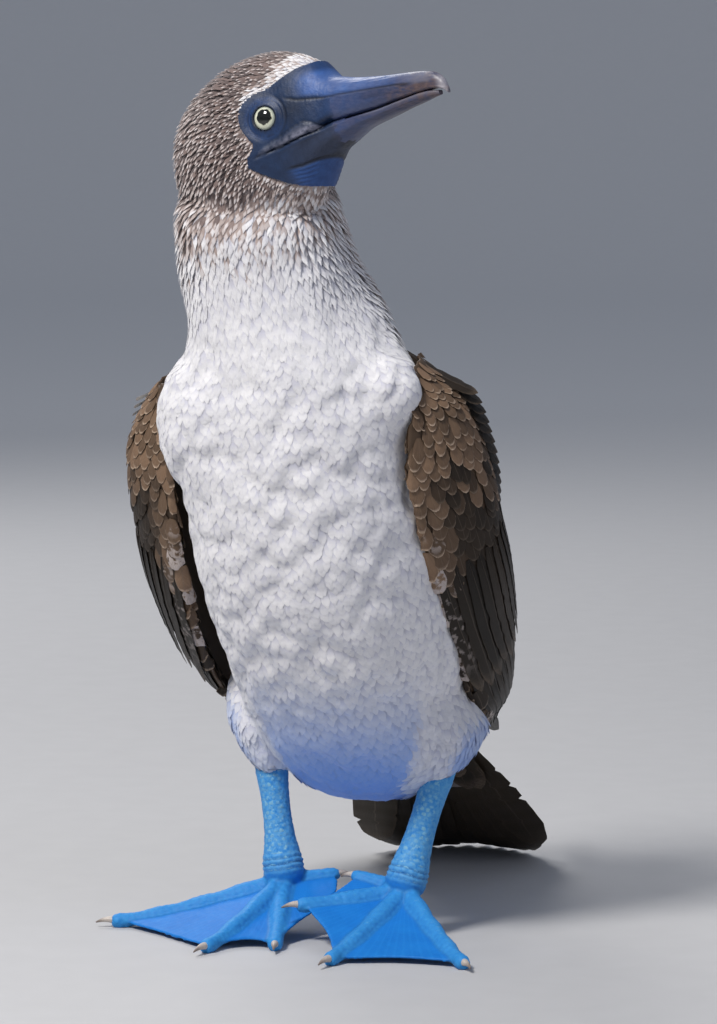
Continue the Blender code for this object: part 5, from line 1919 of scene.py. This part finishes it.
def toe_line(side, which, count=40):
    """The line of one toe from the ankle to where its claw begins, a little arched."""
    ankle = world(LEGS[side]["ankle"])
    tip = world(TOES[side][which])
    s = np.linspace(0, 1, count)
    line = ankle + (tip - ankle) * s[:, None]
    line[:, 2] = ankle[2] - 4 + (tip[2] - ankle[2] + 4) * (1 - (1 - s) ** 1.35)
    return line


def tube_rings(points, radii, sides):
    points = np.asarray(points, float)
    side = np.array((0.31, 0.17, 0.93))
    rings = []
    turn = circle(sides)
    for k, here in enumerate(points):
        ahead = unit(points[min(k + 1, len(points) - 1)] - points[max(k - 1, 0)])
        side = unit(side - ahead * side.dot(ahead))
        other = np.cross(ahead, side)
        rings.append(here + (np.cos(turn)[:, None] * side + np.sin(turn)[:, None] * other) * radii[k])
    return np.array(rings)


WEB_SPOKES = 10
WEB_RAYS = 95


def web_rows(side):
    """Points of the web's middle layer: spokes from the ankle, the front edge hollowed."""
    rows = []
    for which in range(3):
        first, second = toe_line(side, which), toe_line(side, which + 1)
        for k in range(WEB_SPOKES + (which == 2)):
            b = k / WEB_SPOKES
            reach = 0.97 - WEB_SCALLOP * math.sin(math.pi * b)
            s = np.linspace(0.03, 1.0, 30) * reach * (len(first) - 1)
            one, two = along(first, s), along(second, s)
            start = first[0]
            here = one * (1 - b) + two * b
            length = (np.linalg.norm(one - start, axis=1) * (1 - b)
                      + np.linalg.norm(two - start, axis=1) * b)
            rows.append(start + unit(here - start) * length[:, None])
    return np.array(rows)


def toe_radius(which, s):
    thin = 0.78 if which == 0 else 0.92
    joints = 1 + which
    knuckle = KNUCKLE * np.cos(2 * math.pi * s * joints)
    return thin * (TOE_ROUND[0] * (1 - s) + TOE_ROUND[1] * s + knuckle)


def leg_line(side):
    leg = LEGS[side]
    top, ankle = world(leg["top"]), world(leg["ankle"])
    return top, ankle, unit(top - ankle)


def make_leg(side, tree, shapes, finish):
    """One leg and its webbed foot as one skin, then the scutes that lie on it."""
    top, ankle, axis = leg_line(side)
    pile = Pile()
    end = ankle + axis * ANKLE_UP
    s = np.linspace(0, 1, 24)
    shaft = top + (end - top) * s[:, None]
    radii = along(np.array(LEG_RADII)[:, None], s * 4)[:, 0]
    pile.loft(tube_rings(np.vstack([top + axis * 8, shaft]), np.concatenate([radii[:1], radii]), 40))
    low = [end + axis * 3, end, ankle + axis * 2, ankle - (0, 0, 4.0), ankle - (0, 0, 9.0)]
    pile.loft(tube_rings(low, ANKLE_RADII, 40))
    for which in range(4):
        line = toe_line(side, which)
        part = np.linspace(0, 1, len(line))
        ahead = unit(line[-1] - line[-2])
        ends = line[-1] + ahead * np.array((1.2, 2.4, 3.4))[:, None]
        radii = toe_radius(which, part)
        radii = np.concatenate([radii, radii[-1] * np.array((0.94, 0.80, 0.58))])
        pile.loft(tube_rings(np.vstack([line, ends]), radii, 28))
    rows = web_rows(side)
    up = np.array((0, 0, WEB_THICK * 0.62))
    pile.loft(np.concatenate([rows + up, (rows - up)[:, ::-1]], axis=1))
    foot = fused(pile.made("foot_skin_" + WORDS[side]), FOOT_VOXEL, 12)
    mesh = foot.data
    points = read_points(mesh)
    toe, crease, pale, ray = foot_markings(side, points)
    high = (points - ankle) @ axis
    folds = np.sin(high * 2 * math.pi / 3.1 + wobble(points, 14, 71)) * hump(high, 6, 5.5) * 0.35
    rough = wobble(points, 2.6, 72) * 0.10 * toe + wobble(points, 4.5, 73) * 0.05
    points = points + read_normals(mesh) * (folds + rough)[:, None]
    points[:, 2] = np.maximum(points[:, 2], GROUND)
    write_points(mesh, points)
    store(mesh, "out", read_normals(mesh), "FLOAT_VECTOR")
    # Painted shade also in the valleys of the ankle's folds.
    for key, value in (("toe", toe), ("crease", np.maximum(crease, step(-folds, 0.12, 0.32) * 0.8)),
                       ("pale", pale * 0.3), ("ray", ray)):
        store(mesh, key, value)
    mesh.shade_smooth()
    mesh.materials.append(finish)
    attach(foot, "root")
    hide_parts("leg_" + WORDS[side], "foot_" + WORDS[side])
    make_scutes(side, foot, tree, shapes, finish)


def foot_markings(side, points):
    """How much of a toe or shin each point is, how much painted shade lies where web and toe meet, how pale,
    and its angle in the web's fan.
    """
    _, ankle, axis = leg_line(side)
    toe = np.zeros(len(points))
    crease = np.zeros(len(points))
    for which in range(4):
        line = toe_line(side, which, 24)
        radius = toe_radius(which, np.linspace(0, 1, len(line)))
        gaps = np.linalg.norm(points[:, None, :] - line[None, :, :], axis=2) - radius
        gap = gaps.min(axis=1)
        toe = np.maximum(toe, step(gap, 2.4, 0.2))
        # Painted shade where the web meets the toe.
        crease = np.maximum(crease, hump(gap, 1.2, 0.8) * 0.35)
    high = (points - ankle) @ axis
    toe = np.maximum(toe, step(high, -4, 3))
    pale = step(high, -2, 4)
    away = points - ankle
    ray = np.arctan2(away[:, 0], -away[:, 1]) * WEB_RAYS
    return toe, crease * (1 - step(high, 0, 6)), pale, ray


# Where the bars of each toe begin along it, and how far apart they lie. Then the shin's rings of plates.
BARS_FROM = (0.34, 0.16, 0.24, 0.16)
BAR_GAP = 1.75
SHIN_RINGS = 23
SHIN_RING_GAP = 2.55
SHIN_PLATES = 13
SHIN_ROUND = 8.4


def make_scutes(side, foot, tree, shapes, finish):
    """Bars across the top of each toe, and plates down the shin, larger and paler in front."""
    draw = np.random.default_rng(600 + side)
    rows = []
    for which in range(4):
        line = toe_line(side, which, 200)
        length = np.linalg.norm(line[-1] - line[0])
        at = np.linspace(BARS_FROM[which], 1.0, int(length * 0.86 / BAR_GAP))
        centre = along(line, at * 199)
        ahead = along(line, np.minimum(at + 0.01, 1) * 199) - along(line, np.maximum(at - 0.01, 0) * 199)
        ahead = unit(ahead)
        up = unit(np.array((0, 0, 1.0)) - ahead * ahead[:, 2:3])
        radius = toe_radius(which, at)
        others = np.concatenate([toe_line(side, other, 60) for other in range(4) if other != which])
        clear = np.linalg.norm(centre[:, None, :] - others[None, :, :], axis=2).min(axis=1) > radius * 2.1
        for k in np.flatnonzero(clear):
            spot = centre[k] + up[k] * radius[k] - ahead[k] * 1.1
            rows.append((spot, up[k], ahead[k], 2.2, radius[k] * 1.9, 0.20, 0.35 + 0.3 * draw.random()))
    _, ankle, axis = leg_line(side)
    front = unit(np.array((0, -1.0, 0)) - axis * -axis[1])
    right = np.cross(axis, front)
    for k in range(SHIN_RINGS):
        centre = ankle + axis * (4 + k * SHIN_RING_GAP)
        for j in range(SHIN_PLATES):
            turn = (j + 0.5 * (k % 2)) / SHIN_PLATES * 2 * math.pi + draw.normal(0, 0.05)
            turn = (turn + math.pi) % (2 * math.pi) - math.pi
            face = front * math.cos(turn) + right * math.sin(turn)
            forward = float(step(math.cos(turn), 0.45, 0.85))
            if forward < 0.5 and draw.random() < 0.12:
                continue
            size = 3.0 + 1.0 * forward
            spot = centre + face * SHIN_ROUND + axis * size / 2
            rows.append((spot, face, -axis, size * 0.98, size * 1.12, 0.30 + 0.10 * forward,
                         0.15 + 0.85 * forward))
    places, facing, ahead, long, wide, plump, pale = (np.array(part) for part in zip(*rows))
    count = len(rows)
    turn = np.arctan2(places[:, 0] - ankle[0], ankle[1] - places[:, 1]) / (2 * math.pi) + 0.5
    far = np.clip(np.linalg.norm(places - ankle, axis=1) / 150, 0, 1)
    roots = dict(
        place=places, facing=facing, ahead=ahead, long=long, wide=wide * draw.uniform(0.9, 1.05, count),
        kind=draw.integers(0, 2, count), root_lift=-0.10, tip_lift=0.05, plump=plump, droop=0.12,
        tone=draw.random(count), toe=1.0, pale=pale * draw.uniform(0.5, 1.0, count),
        bake_u=turn * 0.98, bake_v=BAKE_EDGE + far * 0.98,
    )
    scutes = lay_coat("scutes_" + WORDS[side], tree, foot, shapes, finish, roots)


def make_claw(side, which, finish):
    line = toe_line(side, which, 7)
    ahead = unit(line[-1] - line[-2])
    flat = unit(np.array((ahead[0], ahead[1], 0.0)))
    start = line[-1] - ahead * 0.6
    s = np.linspace(0, 1, 26)
    points = start + flat * (CLAW_LONG[which] + 1.6) * s[:, None]
    points[:, 2] = start[2] + 1.2 * np.sin(math.pi * s * 0.8) - 1.4 * s * s
    radii = CLAW_ROUND * 0.98 * (1 - 0.86 * s ** 1.3) * np.interp(s, (0, 0.05, 1), (0.8, 1, 1))
    rings = tube_rings(points, radii, 24)
    rings[..., 2] = np.maximum(rings[..., 2], points[:, None, 2] - radii[:, None] * 0.85)
    name = "claw_" + TOE_NAMES[which] + "_" + WORDS[side]
    claw = lofted(name + "_horn", rings, along=np.repeat(s, 24))
    claw.data.shade_smooth()
    claw.data.materials.append(finish)
    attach(claw, "root")
    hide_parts(name)


# The floor, the light and the camera.

CAMERA_TURN = math.radians(14)
CAMERA_AWAY = 2.2
CAMERA_HIGH = 0.43
CAMERA_DROP = math.radians(5.49)
CAMERA_PAN = math.radians(0.16)
PICTURE_WIDE = 717
FOCAL_PIXELS = 4048
SENSOR = 36.0
FLOOR_FLAT = 8.0
FLOOR_RISE = 4.0


def aimed(thing, spot, way):
    """Sets a camera or a lamp at a spot, looking along a way."""
    thing.location = spot
    thing.rotation_mode = "QUATERNION"
    thing.rotation_quaternion = Vector(way).to_track_quat("-Z", "Y")


def make_camera():
    """The camera at the photograph's distance, angle and framing."""
    forward = np.array((-math.sin(CAMERA_TURN), math.cos(CAMERA_TURN), 0))
    right = np.array((math.cos(CAMERA_TURN), math.sin(CAMERA_TURN), 0))
    level = forward * math.cos(CAMERA_PAN) + right * math.sin(CAMERA_PAN)
    look = level * math.cos(CAMERA_DROP) - np.array((0, 0, math.sin(CAMERA_DROP)))
    lens = bpy.data.cameras.new("camera")
    lens.sensor_fit = "HORIZONTAL"
    lens.sensor_width = SENSOR
    lens.lens = FOCAL_PIXELS * SENSOR / PICTURE_WIDE
    lens.clip_start = 0.05
    lens.clip_end = 50
    camera = shown("camera", lens)
    aimed(camera, (0, 0, CAMERA_HIGH) - forward * CAMERA_AWAY + SHIFT, look)
    bpy.context.scene.camera = camera


def make_floor():
    """A round pale floor that curves up far away on every side, darker near the middle and painted paler far
    off, to stand in for light on the rising cove.
    """
    profile = [(0.0, 0.0), (1.0, 0.0), (3.0, 0.0), (FLOOR_FLAT, 0.0)]
    profile += [(FLOOR_FLAT + FLOOR_RISE * math.sin(a), FLOOR_RISE * (1 - math.cos(a)))
                for a in np.linspace(0.06, math.pi / 2, 26)]
    turn = circle(96)
    points = [(far * math.cos(a), far * math.sin(a), high) for far, high in profile for a in turn]
    mesh = bpy.data.meshes.new("floor")
    mesh.from_pydata(points, [], band_faces(len(profile), len(turn)))
    mesh.shade_smooth()
    floor = shown("floor", mesh)
    finish = Finish("floor_finish")
    g = finish.graph
    grain = g.noise(finish.where(), 40.0, 3.0)
    away = g.out("ShaderNodeVectorMath", {0: finish.where()}, "Value", operation="LENGTH")
    near = g.mix(grain, (0.50, 0.50, 0.51), (0.54, 0.54, 0.55))
    far = g.mix(grain, (0.80, 0.80, 0.81), (0.82, 0.82, 0.83))
    # Painted light: paler with distance, so that the far cove looks lit.
    mesh.materials.append(finish.done(g.mix(g.step(away, 0.8, 4.5), near, far), 0.8))


def make_light(name, spot, aim, size, power, colour):
    lamp = bpy.data.lights.new(name, "AREA")
    lamp.size = size
    lamp.energy = power
    lamp.color = colour
    aimed(shown(name, lamp), spot, Vector(aim) - Vector(spot))


def make_lights():
    aim = (0.0, 0.0, 0.25)
    make_light("key", (-0.68, -1.48, 2.1), aim, 0.55, 57.0, (1.0, 0.97, 0.93))
    make_light("side", (1.9, -0.9, 1.2), aim, 1.2, 5.0, (0.80, 0.84, 1.0))
    make_light("rim", (-1.2, 1.6, 1.8), aim, 1.0, 22.0, (1.0, 0.98, 0.96))
    world_light = bpy.data.worlds.new("studio")
    world_light.use_nodes = True
    back = world_light.node_tree.nodes["Background"]
    back.inputs["Color"].default_value = (0.62, 0.68, 0.80, 1.0)
    back.inputs["Strength"].default_value = 0.36
    bpy.context.scene.world = world_light


def clear_shapes():
    """Takes away the shapes that the feathers were picked from."""
    for kind in VANES:
        group = bpy.data.collections[kind + "s"]
        for shape in list(group.objects):
            bpy.data.objects.remove(shape)
        bpy.data.collections.remove(group)


def main():
    bpy.context.scene.view_settings.view_transform = "Standard"
    make_camera()
    make_floor()
    make_lights()
    lie = Lie()
    tree = coat_tree()
    down = skin_finish()
    plumage = plumage_finish()
    make_body_coat(tree, make_skin(lie, down), lie, plumage)
    make_face(face_finish())
    horn = bill_finish()
    bill_part("bill_upper", BILL_UPPER, True, horn)
    bill_part("bill_lower", BILL_LOWER, False, horn)
    make_eye("eye_right", 1)
    make_eye("eye_left", -1)
    small = shape_group("covert")
    coverts = wing_finish("wing_covert", (0.018, 0.013, 0.009), (0.245, 0.155, 0.098),
                          (0.46, 0.35, 0.26), 0.55)
    quills = wing_finish("wing_quill", (0.010, 0.0075, 0.0055), (0.028, 0.019, 0.012),
                         (0.16, 0.115, 0.08), 0.45)
    for side in (1, -1):
        core = make_wing_core(side, coverts)
        make_wing_quills(side, quills)
        make_wing_coverts(side, core, tree, small, coverts)
    # The tail's feathers are painted about twice as light as the wing quills, standing in for light on the
    # tail's shaded underside.
    fan = wing_finish("tail_quill", (0.022, 0.017, 0.012), (0.055, 0.041, 0.027),
                      (0.20, 0.15, 0.11), 0.45)
    make_tail(fan, down)
    blue = foot_finish()
    claw = claw_finish()
    scutes = shape_group("scute")
    for side in (1, -1):
        make_leg(side, tree, scutes, blue)
        for which in range(4):
            make_claw(side, which, claw)
    clear_shapes()


main()
